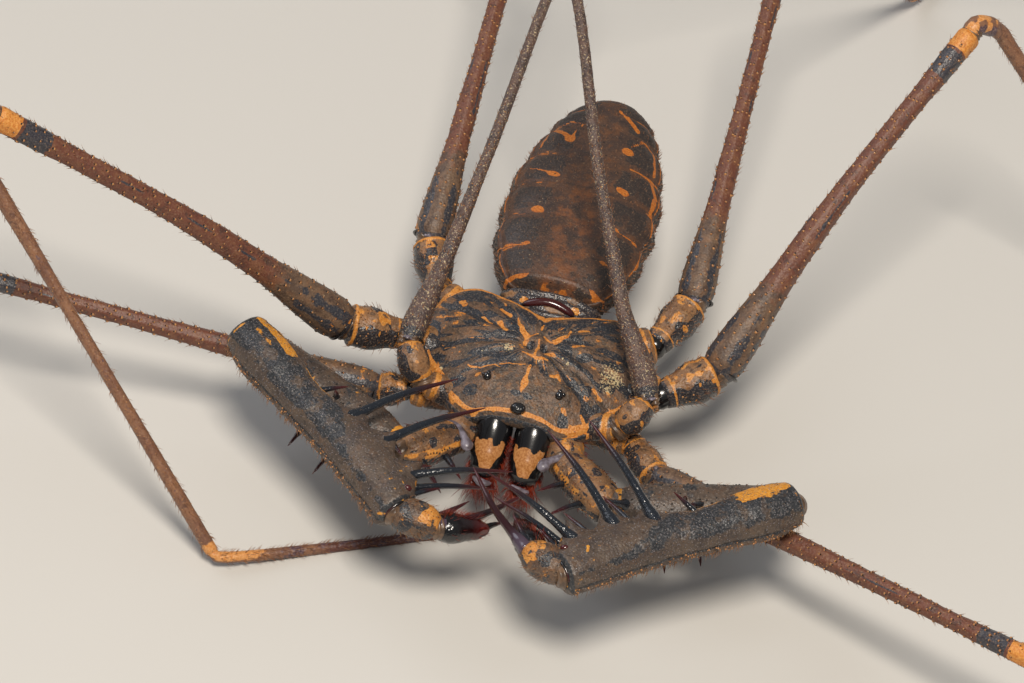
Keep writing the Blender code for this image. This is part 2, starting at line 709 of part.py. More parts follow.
def make_palp(name, shapes):
    """One raptorial pedipalp: coxa, trochanter, femur, patella, tibia and tarsus."""
    ends = PALPS[name]
    inward = 1 if name.endswith("right") else -1
    coxa = limb(
        name + "_coxa", ends["coxa"],
        ((0, 2.2, 2.2, 0, 0), (0.6, 2.7, 2.6, 0, 0), (1, 2.4, 2.4, 0, 0)),
        rings=4, ends=(0.6, 0.7),
    )
    trochanter = limb(
        name + "_trochanter", ends["trochanter"],
        ((0, 2.2, 2.3, 0, 0), (0.5, 2.9, 2.8, 0, 0), (1, 2.5, 2.5, 0, 0)),
        rings=5, ends=(0.6, 0.9),
    )
    femur = limb(
        name + "_femur", ends["femur"],
        (
            (0, 2.2, 2.4, 0, 0),
            (0.25, PALP_WIDTH * 0.95, PALP_WIDTH * 0.86, 0, 0),
            (0.85, PALP_WIDTH * 0.95, PALP_WIDTH * 0.86, 0, 0),
            (1, PALP_WIDTH * 0.85, PALP_WIDTH * 0.8, 0, 0),
        ),
        rings=7, sides=12, ends=(0.6, 1.0),
    )
    shape = [(share, width, height, -inward * lean, 0) for share, width, height, lean in PATELLA_SHAPE]
    patella = limb(name + "_patella", ends["patella"], shape, rings=12, sides=12, ends=(0.9, 0.7))

    def spined_edge(share):
        width, _, lean, _ = profile_at(shape, share)
        return width / 2 + abs(lean)

    patella = joined(patella, thorns_on(name, "patella", spined_edge))
    femur = joined(femur, thorns_on(name, "femur", lambda share: PALP_WIDTH / 2))
    trochanter = joined(trochanter, thorns_on(name, "trochanter", lambda share: 1.35))
    tibia = limb(
        name + "_tibia", ends["tibia"],
        ((0, 2.0, 2.0, 0, 0), (0.5, 2.4, 2.3, 0, 0), (1, 1.9, 1.9, 0, 0)),
        rings=4, ends=(0.6, 0.8),
    )
    tibia = joined(tibia, thorns_on(name, "tibia", lambda share: 1.2))
    tarsus = limb(
        name + "_tarsus", ends["tarsus"],
        ((0, 1.4, 1.4, 0, 0), (0.3, 1.7, 1.6, 0, 0), (0.7, 1.1, 1.0, 0, 0), (1, 0.5, 0.5, 0, 0)),
        rings=5, ends=(0.4, 0.3),
    )
    tarsus = joined(tarsus, [thorn(*ends["claw"], 0.6, UP * 0.1)])
    add_form(name + "_coxa", coxa, shapes)
    add_form(name + "_trochanter", trochanter, shapes)
    add_form(name + "_patella", patella, shapes)
    add_form(name + "_femur", femur, shapes)
    add_form(name + "_tibia", tibia, shapes)
    add_form(name + "_tarsus", tarsus, shapes)


def make_chelicera(side, shapes):
    """A glossy upright barrel beside the mouth and the fang folded under it."""
    name = "chelicera_" + side
    top = sided((-1.3, -3.6, 7.2), side)
    foot = sided((-1.25, -7.2, 4.3), side)
    body = limb(
        name, (top, foot),
        ((0, 2.0, 2.0, 0, 0), (0.3, 2.3, 2.3, 0, 0), (0.8, 2.1, 2.1, 0, 0), (1, 1.7, 1.6, 0, 0)),
        rings=5, sides=10, ends=(0.8, 0.7),
    )
    fang = limb(
        "fang_" + side,
        (foot + Vector((0, 0.4, 0.3)), foot + Vector((0, 0.1, -1.0)), foot + Vector((0, 1.3, -1.7))),
        ((0, 0.9, 0.9, 0, 0), (0.5, 0.7, 0.7, 0, 0), (1, 0.3, 0.3, 0, 0)),
        rings=5, sides=8, ends=(0.3, 0.2), up=Vector((1, 0, 0)),
    )
    add_form(name, body, shapes)
    add_form("fang_" + side, fang, shapes)


def dome(name, centre, radius, height):
    """A small rounded eye, sunk by half in what carries it."""
    form = bmesh.new()
    bmesh.ops.create_uvsphere(form, u_segments=8, v_segments=6, radius=radius)
    bmesh.ops.scale(form, vec=(1, 1, height / radius), verts=form.verts)
    bmesh.ops.translate(form, vec=centre, verts=form.verts)
    return settled(form, name)


for old in list(bpy.data.objects):
    bpy.data.objects.remove(old)

animal = bpy.data.collections.new("whip_spider")
bpy.context.scene.collection.children.link(animal)
animal_root = bpy.data.objects.new("whip_spider_root", None)
animal.objects.link(animal_root)

forms = {}
eye_spots = {
    "eyes_median": (Vector((0, -4.45, BODY_HEIGHT + 0.45)), 0.5),
    "eyes_lateral_right": (Vector((-2.4, -2.65, BODY_HEIGHT + 0.98)), 0.32),
    "eyes_lateral_left": (Vector((2.4, -2.65, BODY_HEIGHT + 0.98)), 0.32),
}
for eye, (centre, radius) in eye_spots.items():
    add_form(eye, dome(eye, centre, radius, radius), forms)
add_form("carapace", make_carapace(), forms)
add_form("abdomen", make_abdomen(), forms)
add_form("sternum_and_coxae", make_coxae(), forms)
pedicel = limb(
    "pedicel", ((0, 3.2, 7.7), (0, 6.6, 7.9)),
    ((0, 2.6, 1.4, 0, 0), (1, 3.0, 1.9, 0, 0)),
    rings=3, sides=12, ends=(0.3, 0.3),
)
add_form("pedicel", pedicel, forms)
for side_name in ("right", "left"):
    make_chelicera(side_name, forms)
for side_name in ("right", "left"):
    make_palp("pedipalp_" + side_name, forms)
for leg in WALKING:
    make_leg(leg, forms)
for side_name in ("right", "left"):
    make_whip("whip_" + side_name, forms)

# The carapace's own zero moves so that the origin is the bottom centre of the whole box.
boxes = [box_of(form_mesh) for form_mesh in forms.values()]
place = [-(min(box[axis][0] for box in boxes) + max(box[axis][1] for box in boxes)) / 2 for axis in (0, 1)]
animal_root.location = (place[0] * MM, place[1] * MM, 0)

for piece_name, form_mesh in forms.items():
    mesh_object(piece_name, form_mesh, *finish_of(piece_name))
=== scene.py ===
import math
import random

import bmesh
import bpy
import numpy as np
from mathutils import Matrix, Vector, noise


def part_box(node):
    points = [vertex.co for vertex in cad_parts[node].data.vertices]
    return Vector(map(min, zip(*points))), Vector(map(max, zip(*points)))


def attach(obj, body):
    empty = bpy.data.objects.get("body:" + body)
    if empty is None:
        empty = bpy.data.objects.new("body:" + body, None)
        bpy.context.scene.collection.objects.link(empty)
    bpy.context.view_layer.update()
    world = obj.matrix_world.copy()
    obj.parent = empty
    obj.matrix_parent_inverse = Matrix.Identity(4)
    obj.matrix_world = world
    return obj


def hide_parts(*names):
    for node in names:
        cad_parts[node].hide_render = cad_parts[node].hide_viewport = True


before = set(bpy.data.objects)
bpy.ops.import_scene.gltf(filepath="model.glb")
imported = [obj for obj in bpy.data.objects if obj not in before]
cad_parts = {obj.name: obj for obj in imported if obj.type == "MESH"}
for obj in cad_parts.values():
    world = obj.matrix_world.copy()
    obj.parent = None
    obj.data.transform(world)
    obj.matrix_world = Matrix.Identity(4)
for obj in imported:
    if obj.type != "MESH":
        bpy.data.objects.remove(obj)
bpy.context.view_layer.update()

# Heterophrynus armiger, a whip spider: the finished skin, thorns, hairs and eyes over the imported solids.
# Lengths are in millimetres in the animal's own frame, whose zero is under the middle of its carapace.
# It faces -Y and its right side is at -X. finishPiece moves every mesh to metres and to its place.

mm = 0.001
up = Vector((0, 0, 1))
bodyHeight = 8.0          # floor to the level of the carapace's margin
eyeSpot = Vector((0, -4.45))
eyeLow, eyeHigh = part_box("eyes_median")
bodyPlace = Vector((*((eyeLow + eyeHigh) / 2 / mm).xy, 0)) - Vector((*eyeSpot, 0))
draw = random.Random(11)


# Small tools

def bearing(azimuth, rise=0.0):      # unit direction, degrees from +X and above the floor
    across = math.cos(math.radians(rise))
    return Vector(
        (
            math.cos(math.radians(azimuth)) * across, math.sin(math.radians(azimuth)) * across,
            math.sin(math.radians(rise))
        )
    )


def smoothStep(low, high, value):      # 0 at low, 1 at high, whichever is the larger
    part = min(max((value - low) / (high - low), 0.0), 1.0)
    return part * part * (3 - 2 * part)


def hump(value, middle, width):      # 1 at the middle, fading out over about that width
    return math.exp(-((value - middle) / width) ** 2)


def smoothLine(points, steps=12):      # Catmull-Rom through the given points
    given = [Vector(point) for point in points]
    if len(given) == 2:
        return given
    ends = [2 * given[0] - given[1]] + given + [2 * given[-1] - given[-2]]
    line = []
    for before, start, end, after in zip(ends, ends[1:], ends[2:], ends[3:]):
        for step in range(steps):
            t = step / steps
            line.append(
                0.5 * (
                    2 * start + (end - before) * t + (2 * before - 5 * start + 4 * end - after) * t ** 2
                    + (3 * start - before - 3 * end + after) * t ** 3
                )
            )
    return line + [given[-1]]


def lengthsAlong(line):
    total = [0.0]
    for start, end in zip(line, line[1:]):
        total.append(total[-1] + (end - start).length)
    return total


def spotOn(line, total, distance):      # place and direction at a distance along a line
    index = 0
    while index < len(line) - 2 and total[index + 1] < distance:
        index += 1
    start, end = line[index], line[index + 1]
    part = (distance - total[index]) / (total[index + 1] - total[index])
    before = line[max(index - 1, 0)]
    after = line[min(index + 2, len(line) - 1)]
    if part < 0.5:
        way = (start - before).lerp(end - start, 0.5 + part / 2)
    else:
        way = (end - start).lerp(after - end, (part - 0.5) / 2)
    if way.length < 1e-6:
        way = end - start
    return start.lerp(end, part), way.normalized()


# (share, size) or (share, width, height), with sideways and upward shifts of 0 if not given
def fullRow(row):
    share, width = row[:2]
    return (share, width, row[2] if len(row) > 2 else width, *(row[3:] or (0, 0)))


def profileAt(profile, fraction):
    profile = [fullRow(row) for row in profile]
    for low, high in zip(profile, profile[1:]):
        if fraction <= high[0]:
            part = smoothStep(low[0], high[0], fraction)
            return [a + (b - a) * part for a, b in zip(low[1:], high[1:])]
    return list(profile[-1][1:])


def rough(place, size, seed=0.0):      # smooth noise from -1 to 1 with features of about that size
    return noise.noise(Vector(place) / size + Vector((seed, seed * 1.7, -seed)))


def lumps(*waves):      # a relief of noises, each given as its height and size
    return lambda share, turn, spot: sum(height * rough(spot, size) for height, size in waves)


# Materials

def toLinear(hexColour):
    channels = [int(hexColour[index:index + 2], 16) / 255 for index in (1, 3, 5)]
    return tuple(c / 12.92 if c <= 0.04045 else ((c + 0.055) / 1.055) ** 2.4 for c in channels) + (1.0,)


def addNode(tree, kind, settings=None, links=None):
    node = tree.nodes.new(kind)
    for key, value in (settings or {}).items():
        if isinstance(key, int) or key in node.inputs:
            node.inputs[key].default_value = value
        else:
            setattr(node, key, value)
    for key, source in (links or {}).items():
        tree.links.new(source, node.inputs[key])
    return node


def newMaterial(name, roughness, coat=0.0, coatRoughness=0.1, specular=0.5):
    material = bpy.data.materials.new(name)
    material.use_nodes = True
    shader = material.node_tree.nodes["Principled BSDF"]
    shader.inputs["Roughness"].default_value = roughness
    shader.inputs["IOR"].default_value = 1.55      # chitin
    shader.inputs["Specular IOR Level"].default_value = specular
    shader.inputs["Coat Weight"].default_value = coat
    shader.inputs["Coat Roughness"].default_value = coatRoughness
    return material, material.node_tree, shader


# Cuticle, the hard skin of an arachnid: browns that mottle into each other under fine dust, slate and orange
# marks with ragged edges, black pits, and a granular relief that breaks up its satin gloss.
def cuticle(name, look):
    material, tree, shader = newMaterial(name, look["roughness"], look["coat"], 0.25, look["specular"])
    place = addNode(tree, "ShaderNodeTexCoord").outputs["Object"]
    field = {}
    for key, detail in (("blotch", 4.0), ("mottle", 5.0), ("grain", 2.0)):
        field[key] = addNode(
            tree, "ShaderNodeTexNoise",
            {"Scale": 1 / (look[key + "Mm"] * mm), "Detail": detail, "Roughness": 0.65}, {"Vector": place}
        ).outputs["Fac"]
    for key in ("speck", "pit"):
        field[key] = addNode(
            tree, "ShaderNodeTexVoronoi", {"Scale": 1 / (look[key + "Mm"] * mm)}, {"Vector": place}
        ).outputs["Distance"]
    for key, breaker, ragged in (
        ("orange", "mottle", look["ragged"]), ("dark", "mottle", look["ragged"]), ("pale", "grain", 1.6),
        ("red", "mottle", 0.8)
    ):
        painted = addNode(tree, "ShaderNodeAttribute", {"attribute_name": key}).outputs["Fac"]
        shift = addNode(
            tree, "ShaderNodeMath", {"operation": "MULTIPLY_ADD", 1: ragged, 2: -ragged / 2},
            {0: field[breaker]}
        ).outputs[0]
        field[key] = addNode(tree, "ShaderNodeMath", {"operation": "ADD"}, {
            0: painted, 1: shift,
        }).outputs[0]
    grainShare = addNode(
        tree, "ShaderNodeMapRange", {"From Min": 0.38, "From Max": 0.62}, {"Value": field["grain"]}
    ).outputs["Result"]
    mixed = {}
    for key, first, second in (("orange", "orange", "orangePale"), ("dark", "slate", "slatePale")):
        tones = {"data_type": "RGBA", 6: toLinear(look[first]), 7: toLinear(look[second])}
        mixed[key] = addNode(tree, "ShaderNodeMix", tones, {0: grainShare}).outputs[2]
    colour = None
    for key, start, full, tone, amount in (
        ("blotch", 0.42, 0.60, "second", 1.0), ("red", 0.35, 0.65, "redTone", 0.9),
        ("mottle", 0.50, 0.63, "tint", look["tinted"]), ("mottle", 0.46, 0.34, "deep", 0.65),
        ("dark", 0.44, 0.56, "slate", 0.95), ("grain", 0.54, 0.70, "dust", look["dusted"]),
        ("grain", 0.42, 0.30, "deep", 0.45), ("pale", 0.46, 0.60, "pale", 0.85),
        ("orange", 0.43, 0.56, "orange", 1.0), ("speck", 0.24, 0.10, "speck", look["specked"]),
        ("pit", 0.13, 0.06, "pit", look["pitted"]),
    ):
        cover = addNode(
            tree, "ShaderNodeMapRange",
            {"From Min": start, "From Max": full, "To Max": amount, "interpolation_type": "SMOOTHSTEP"},
            {"Value": field[key]}
        ).outputs["Result"]
        over = addNode(
            tree, "ShaderNodeMix",
            {"data_type": "RGBA", 6: toLinear(look["base"]), 7: toLinear(look[tone])}, {0: cover}
        )
        if key in mixed:
            tree.links.new(mixed[key], over.inputs[7])
        if colour:
            tree.links.new(colour, over.inputs[6])
        colour = over.outputs[2]
    tree.links.new(colour, shader.inputs["Base Color"])
    gloss = addNode(
        tree, "ShaderNodeMapRange",
        {"From Min": 0.42, "From Max": 0.58, "To Min": look["roughness"], "To Max": look["slateRoughness"]},
        {"Value": field["dark"]}
    )
    tree.links.new(gloss.outputs["Result"], shader.inputs["Roughness"])
    rise = addNode(tree, "ShaderNodeMath", {"operation": "MULTIPLY_ADD", 1: look["mottleRise"]}, {
        0: field["mottle"], 2: field["grain"],
    }).outputs[0]
    rise = addNode(tree, "ShaderNodeMath", {"operation": "SUBTRACT"}, {
        0: rise, 1: field["speck"],
    }).outputs[0]
    bump = addNode(
        tree, "ShaderNodeBump", {"Strength": look["bump"], "Distance": look["bumpMm"] * mm},
        {"Height": rise}
    )
    tree.links.new(bump.outputs["Normal"], shader.inputs["Normal"])
    return material


chitin = {
    "base": "#6b5240", "second": "#4d3f34", "tint": "#8a5f38", "deep": "#2b2523", "slate": "#1a1f26",
    "slatePale": "#2d343d", "dust": "#9d8263", "speck": "#a3917c", "pit": "#120e0c", "pale": "#cdb88c",
    "orange": "#bd6f22", "orangePale": "#d8954a", "redTone": "#6b3827", "blotchMm": 1.2, "mottleMm": 0.5,
    "grainMm": 0.13, "speckMm": 0.17, "pitMm": 0.55, "ragged": 1.3, "tinted": 0.55, "dusted": 0.4,
    "specked": 0.25, "pitted": 0.8, "roughness": 0.48, "slateRoughness": 0.36, "coat": 0.0,
    "specular": 0.45, "mottleRise": 1.6, "bump": 0.7, "bumpMm": 0.05,
}
carapaceSkin = cuticle("sclerotised chitin of the carapace, waxy and dusty", chitin)
abdomenSkin = cuticle("thin leathery chitin of the abdomen", {
    **chitin, "base": "#51392b", "second": "#42322b", "tint": "#7a4b26", "deep": "#2b2320",
    "slate": "#2c2725", "slatePale": "#3d3430", "orange": "#a4581b", "orangePale": "#c0742b",
    "redTone": "#73462a", "dust": "#8a6a4c", "speck": "#7a634f", "dusted": 0.25, "specked": 0.2,
    "blotchMm": 1.8, "mottleMm": 0.8, "pitMm": 0.7, "ragged": 1.4, "tinted": 0.35, "roughness": 0.5,
    "slateRoughness": 0.46, "bump": 0.55, "bumpMm": 0.035,
})
# the pedipalps' grey-violet pale tone, painted on the slate core along their top, is partly dust specks and
# partly a painted sheen
palpSkin = cuticle("granulated chitin of the pedipalps", {
    **chitin, "base": "#584a3f", "second": "#473d38", "tint": "#70533a", "slate": "#202327",
    "slatePale": "#3a3e43", "dust": "#8f7c66", "speck": "#9b9390", "pale": "#77757c", "orange": "#c07a22",
    "orangePale": "#dd9d3f", "tinted": 0.4, "dusted": 0.3, "specked": 0.45, "pitted": 0.55, "ragged": 1.2,
    "speckMm": 0.2, "mottleMm": 0.6, "roughness": 0.43, "slateRoughness": 0.37, "mottleRise": 0.35,
    "bump": 0.7, "bumpMm": 0.04,
})
legSkin = cuticle("satin chitin of the walking legs", {
    **chitin, "base": "#705844", "second": "#594537", "tint": "#8a5f3e", "slate": "#2a2d35",
    "slatePale": "#3d4048", "dust": "#9a7f62", "speck": "#94775f", "redTone": "#6a3a29", "deep": "#3a2a26",
    "orange": "#c3742a", "orangePale": "#dd9a4c", "mottleMm": 0.7, "tinted": 0.35, "dusted": 0.35,
    "specked": 0.35, "pitted": 0.35, "ragged": 1.2, "roughness": 0.5, "slateRoughness": 0.38,
    "mottleRise": 0.7, "bump": 0.5, "bumpMm": 0.04,
})
tibiaSkin = cuticle("satin chitin of the lower legs, pinkish tan", {
    **chitin, "base": "#8a6248", "second": "#74503f", "tint": "#a5744e", "slate": "#46343a",
    "slatePale": "#6a545c", "dust": "#b8946f", "speck": "#4a3038", "redTone": "#552a25", "deep": "#4a2f2a",
    "orange": "#c67f3c", "orangePale": "#dca062", "mottleMm": 0.6, "tinted": 0.4, "dusted": 0.3,
    "specked": 0.55, "speckMm": 0.22, "pitted": 0.3, "roughness": 0.42, "bump": 0.6, "bumpMm": 0.04,
})
whipSkin = cuticle("dull chitin of the whip legs, dusted cream", {
    **chitin, "base": "#5c463d", "second": "#4a3a36", "tint": "#6f5347", "slate": "#23252a",
    "slatePale": "#34363c", "dust": "#a08b7b", "speck": "#c0a78f", "mottleMm": 0.4, "tinted": 0.4,
    "dusted": 0.5, "specked": 0.75, "speckMm": 0.15, "pitted": 0.4, "roughness": 0.5, "bump": 0.9,
    "bumpMm": 0.05,
})
jointSkin = cuticle("waxy chitin of the trochanters and coxae", {
    **chitin, "base": "#8d6745", "second": "#71523a", "tint": "#ab7239", "slate": "#1d2127",
    "slatePale": "#31363f", "dust": "#b5956f", "speck": "#b79c7c", "orange": "#bd7429",
    "orangePale": "#d4964a", "mottleMm": 0.6, "tinted": 0.5, "dusted": 0.35, "specked": 0.3,
    "roughness": 0.42, "slateRoughness": 0.26, "bump": 0.6, "bumpMm": 0.045,
})
palpTipSkin = cuticle("dusty chitin of the palp's tibia", {
    **chitin, "base": "#66503f", "second": "#513f35", "tint": "#86592f", "slate": "#20242b",
    "slatePale": "#34393f", "orange": "#bd7429", "orangePale": "#d4964a", "mottleMm": 0.5, "tinted": 0.5,
    "dusted": 0.35, "specked": 0.35, "roughness": 0.42, "bump": 0.7,
})
cheliceraSkin = cuticle("polished black chitin of the chelicerae, dull orange in front", {
    **chitin, "base": "#0d0c0e", "second": "#121113", "tint": "#161416", "deep": "#080808",
    "slate": "#0a0a0c", "slatePale": "#101013", "dust": "#1c1a1c", "speck": "#151416", "pale": "#77727f",
    "orange": "#9a6232", "orangePale": "#bb8450", "mottleMm": 0.35, "tinted": 0.1, "dusted": 0.1,
    "specked": 0.0, "pitMm": 0.3, "pitted": 0.95, "roughness": 0.15, "slateRoughness": 0.13, "coat": 0.3,
    "mottleRise": 0.4, "bump": 0.2, "bumpMm": 0.01,
})


# Glassy chitin of thorns and claws: blue-black and finely granular at the root, maroon further out
# and red at the tip, with a wet gloss.
# the speck tone, lighter than the chitin, is painted on each granule's top as a glint
def glassyChitin(name, look):
    material, tree, shader = newMaterial(name, look["roughness"], 0.5, 0.1)
    place = addNode(tree, "ShaderNodeTexCoord").outputs["Object"]
    along = addNode(tree, "ShaderNodeAttribute", {"attribute_name": "along"}).outputs["Fac"]
    grains = addNode(
        tree, "ShaderNodeTexVoronoi", {"Scale": 1 / (0.15 * mm)}, {"Vector": place}
    ).outputs["Distance"]
    colour = None
    for source, start, full, tone, amount in (
        (along, look["middleFrom"], look["middleTo"], "middle", 1.0), (along, 0.6, 1.0, "tip", 1.0),
        (grains, 0.2, 0.06, "speck", look["specked"]),
    ):
        cover = addNode(
            tree, "ShaderNodeMapRange", {"From Min": start, "From Max": full, "To Max": amount},
            {"Value": source}
        ).outputs["Result"]
        over = addNode(
            tree, "ShaderNodeMix",
            {"data_type": "RGBA", 6: toLinear(look["root"]), 7: toLinear(look[tone])}, {0: cover}
        )
        if colour:
            tree.links.new(colour, over.inputs[6])
        colour = over.outputs[2]
    tree.links.new(colour, shader.inputs["Base Color"])
    granular = addNode(
        tree, "ShaderNodeMapRange",
        {"From Min": 0.15, "From Max": look["smoothFrom"], "To Min": look["bump"], "To Max": 0.12},
        {"Value": along}
    ).outputs["Result"]
    bump = addNode(tree, "ShaderNodeBump", {"Distance": 0.04 * mm, "invert": True}, {
        "Height": grains, "Strength": granular,
    })
    tree.links.new(bump.outputs["Normal"], shader.inputs["Normal"])
    return material


# the pale blue-grey speck on the thorns' granules is a painted glint
glassy = {
    "root": "#171c24", "middle": "#1f0b10", "tip": "#4a0d0d", "speck": "#56606c", "specked": 0.45,
    "middleFrom": 0.5, "middleTo": 0.8, "smoothFrom": 0.85, "roughness": 0.2, "bump": 1.0
}
thornSkin = glassyChitin("glassy granular chitin of the thorns", glassy)
longThornSkin = glassyChitin("glassy chitin of the longest thorn, maroon", {
    **glassy, "root": "#4a3d4b", "middle": "#2a0b10", "specked": 0.05, "middleFrom": 0.1, "middleTo": 0.26,
    "bump": 0.15, "roughness": 0.14,
})
tarsusSkin = glassyChitin("glassy black chitin of the palp tips", {
    **glassy, "root": "#0b090a", "middle": "#260808", "tip": "#5a1310", "speck": "#241416", "specked": 0.3,
    "middleFrom": 0.3, "roughness": 0.13, "bump": 0.7,
})
fangSkin = glassyChitin("glassy dark red chitin of fangs and mouthparts", {
    **glassy, "root": "#5e120d", "middle": "#7d1a10", "tip": "#3b0907", "speck": "#8e2a18", "specked": 0.3,
    "roughness": 0.2, "bump": 0.5,
})
condyleSkin = glassyChitin("polished chitin of the hinge knobs, black to dark red", {
    **glassy, "root": "#0c0b0d", "middle": "#12090b", "tip": "#4a0f0f", "speck": "#0c0b0d", "specked": 0.0,
    "roughness": 0.22, "bump": 0.1,
})


# Joint membrane: soft, translucent and finely folded, with a wet shine and thin orange rims.
def membrane(name, look):
    material, tree, shader = newMaterial(name, 0.34, 0.15, 0.2)
    place = addNode(tree, "ShaderNodeTexCoord").outputs["Object"]
    tone = addNode(
        tree, "ShaderNodeTexNoise", {"Scale": 1 / (0.5 * mm), "Detail": 4.0}, {"Vector": place}
    ).outputs["Fac"]
    share = addNode(
        tree, "ShaderNodeMapRange", {"From Min": 0.4, "From Max": 0.6}, {"Value": tone}
    ).outputs["Result"]
    ground = addNode(
        tree, "ShaderNodeMix", {"data_type": "RGBA", 6: toLinear(look[0]), 7: toLinear(look[1])}, {0: share}
    ).outputs[2]
    painted = addNode(tree, "ShaderNodeAttribute", {"attribute_name": "orange"}).outputs["Fac"]
    rimmed = addNode(tree, "ShaderNodeMix", {"data_type": "RGBA", 7: toLinear(look[2])}, {
        0: painted, 6: ground,
    }).outputs[2]
    tree.links.new(rimmed, shader.inputs["Base Color"])
    folds = addNode(
        tree, "ShaderNodeTexNoise", {"Scale": 1 / (0.12 * mm), "Detail": 3.0}, {"Vector": place}
    ).outputs["Fac"]
    bump = addNode(tree, "ShaderNodeBump", {"Strength": 0.5, "Distance": 0.03 * mm}, {"Height": folds})
    tree.links.new(bump.outputs["Normal"], shader.inputs["Normal"])
    return material


jointMembrane = membrane("soft joint membrane, brown and folded", ("#735840", "#4f3d2f", "#b97934"))
paleMembrane = membrane("soft membrane beside the mouth, grey violet and wet", (
    "#7f7883", "#554b50", "#7f7883",
))


# Setae, horn and lenses: one tone that drifts a little, with the gloss of its own kind.
def plainSkin(name, colour, second, roughness, coat, sizeMm):
    material, tree, shader = newMaterial(name, roughness, coat, 0.05)
    place = addNode(tree, "ShaderNodeTexCoord").outputs["Object"]
    tone = addNode(
        tree, "ShaderNodeTexNoise", {"Scale": 1 / (sizeMm * mm), "Detail": 3.0}, {"Vector": place}
    ).outputs["Fac"]
    share = addNode(
        tree, "ShaderNodeMapRange", {"From Min": 0.4, "From Max": 0.6}, {"Value": tone}
    ).outputs["Result"]
    mix = addNode(
        tree, "ShaderNodeMix", {"data_type": "RGBA", 6: toLinear(colour), 7: toLinear(second)}, {0: share}
    )
    tree.links.new(mix.outputs[2], shader.inputs["Base Color"])
    return material


eyeLens = plainSkin("wet lens of an eye, brown black", "#07060a", "#100c10", 0.05, 1.0, 0.4)
moundSkin = plainSkin("rough black chitin of the eye mound", "#1b1c1f", "#0c0c0e", 0.3, 0.2, 0.1)
coatSkins = {
    "brown": plainSkin("setae, brown", "#7d4e33", "#a5754f", 0.4, 0.1, 0.5),
    "tan": plainSkin("setae of the palp's edge, tan", "#a37449", "#7c5233", 0.4, 0.1, 0.4),
    "red": plainSkin("setae of the mouth and palp tips, fox red", "#5c150a", "#96361a", 0.3, 0.2, 0.5),
    "horn": plainSkin("horn of the tubercles, tan", "#b9834f", "#97663f", 0.4, 0.1, 0.3),
    "grey": plainSkin("horn of the granules, grey brown", "#8d7a68", "#5b4f48", 0.4, 0.1, 0.3),
    "pearl": plainSkin("horn of the palp's granules, grey violet", "#827b7d", "#5b5860", 0.32, 0.2, 0.3),
    "black": plainSkin("pits and sockets, black", "#0f0c0b", "#1c1512", 0.35, 0.1, 0.2),
}


# Making pieces

# what each point of a skin carries for its material
paints = ("along", "around", "orange", "dark", "pale", "red")


def finishPiece(form, name, material, replaced=()):
    bmesh.ops.recalc_face_normals(form, faces=form.faces)
    if form.calc_volume(signed=True) < 0:
        bmesh.ops.reverse_faces(form, faces=form.faces)
    bmesh.ops.transform(form, matrix=Matrix.Scale(mm, 4) @ Matrix.Translation(bodyPlace), verts=form.verts)
    mesh = bpy.data.meshes.new(name)
    form.to_mesh(mesh)
    form.free()
    mesh.shade_smooth()
    mesh.materials.append(material)
    piece = bpy.data.objects.new(name, mesh)
    bpy.context.scene.collection.objects.link(piece)
    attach(piece, "root")
    if replaced:
        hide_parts(*replaced)
    return piece


def paintLayers(form):
    return [form.verts.layers.float.get(name) or form.verts.layers.float.new(name) for name in paints]


def ringMatrix(centre, way, width, height, upward=up):
    side = way.cross(upward).normalized()
    top = side.cross(way)
    return Matrix((
        (-side.x * width / 2, -top.x * height / 2, way.x, centre.x),
        (-side.y * width / 2, -top.y * height / 2, way.y, centre.y),
        (-side.z * width / 2, -top.z * height / 2, way.z, centre.z),
        (0, 0, 0, 1),
    ))


def nextRow(form, edges, row):      # one more ring of faces, and its corners in the same order
    made = bmesh.ops.extrude_edge_only(form, edges=edges)
    fresh = {item for item in made["geom"] if isinstance(item, bmesh.types.BMVert)}
    edges = [
        item for item in made["geom"]
        if isinstance(item, bmesh.types.BMEdge) and item.verts[0] in fresh and item.verts[1] in fresh
    ]
    row = [
        next(edge.other_vert(vertex) for edge in vertex.link_edges if edge.other_vert(vertex) in fresh)
        for vertex in row
    ]
    return edges, row


def extrudeRings(form, matrices, sides):      # a circle extruded from ring to ring, both ends closed
    made = bmesh.ops.create_circle(form, cap_ends=False, segments=sides, radius=1.0)
    row = list(made["verts"])
    edges = list({edge for vertex in row for edge in vertex.link_edges})
    bmesh.ops.transform(form, matrix=matrices[0], verts=row)
    firstEdges = edges
    rows = [row]
    for before, after in zip(matrices, matrices[1:]):
        edges, row = nextRow(form, edges, row)
        bmesh.ops.transform(form, matrix=after @ before.inverted(), verts=row)
        rows.append(row)
    bmesh.ops.contextual_create(form, geom=firstEdges)
    bmesh.ops.contextual_create(form, geom=edges)
    return rows


endSteps = (0.015, 0.08, 0.2, 0.4, 0.65)


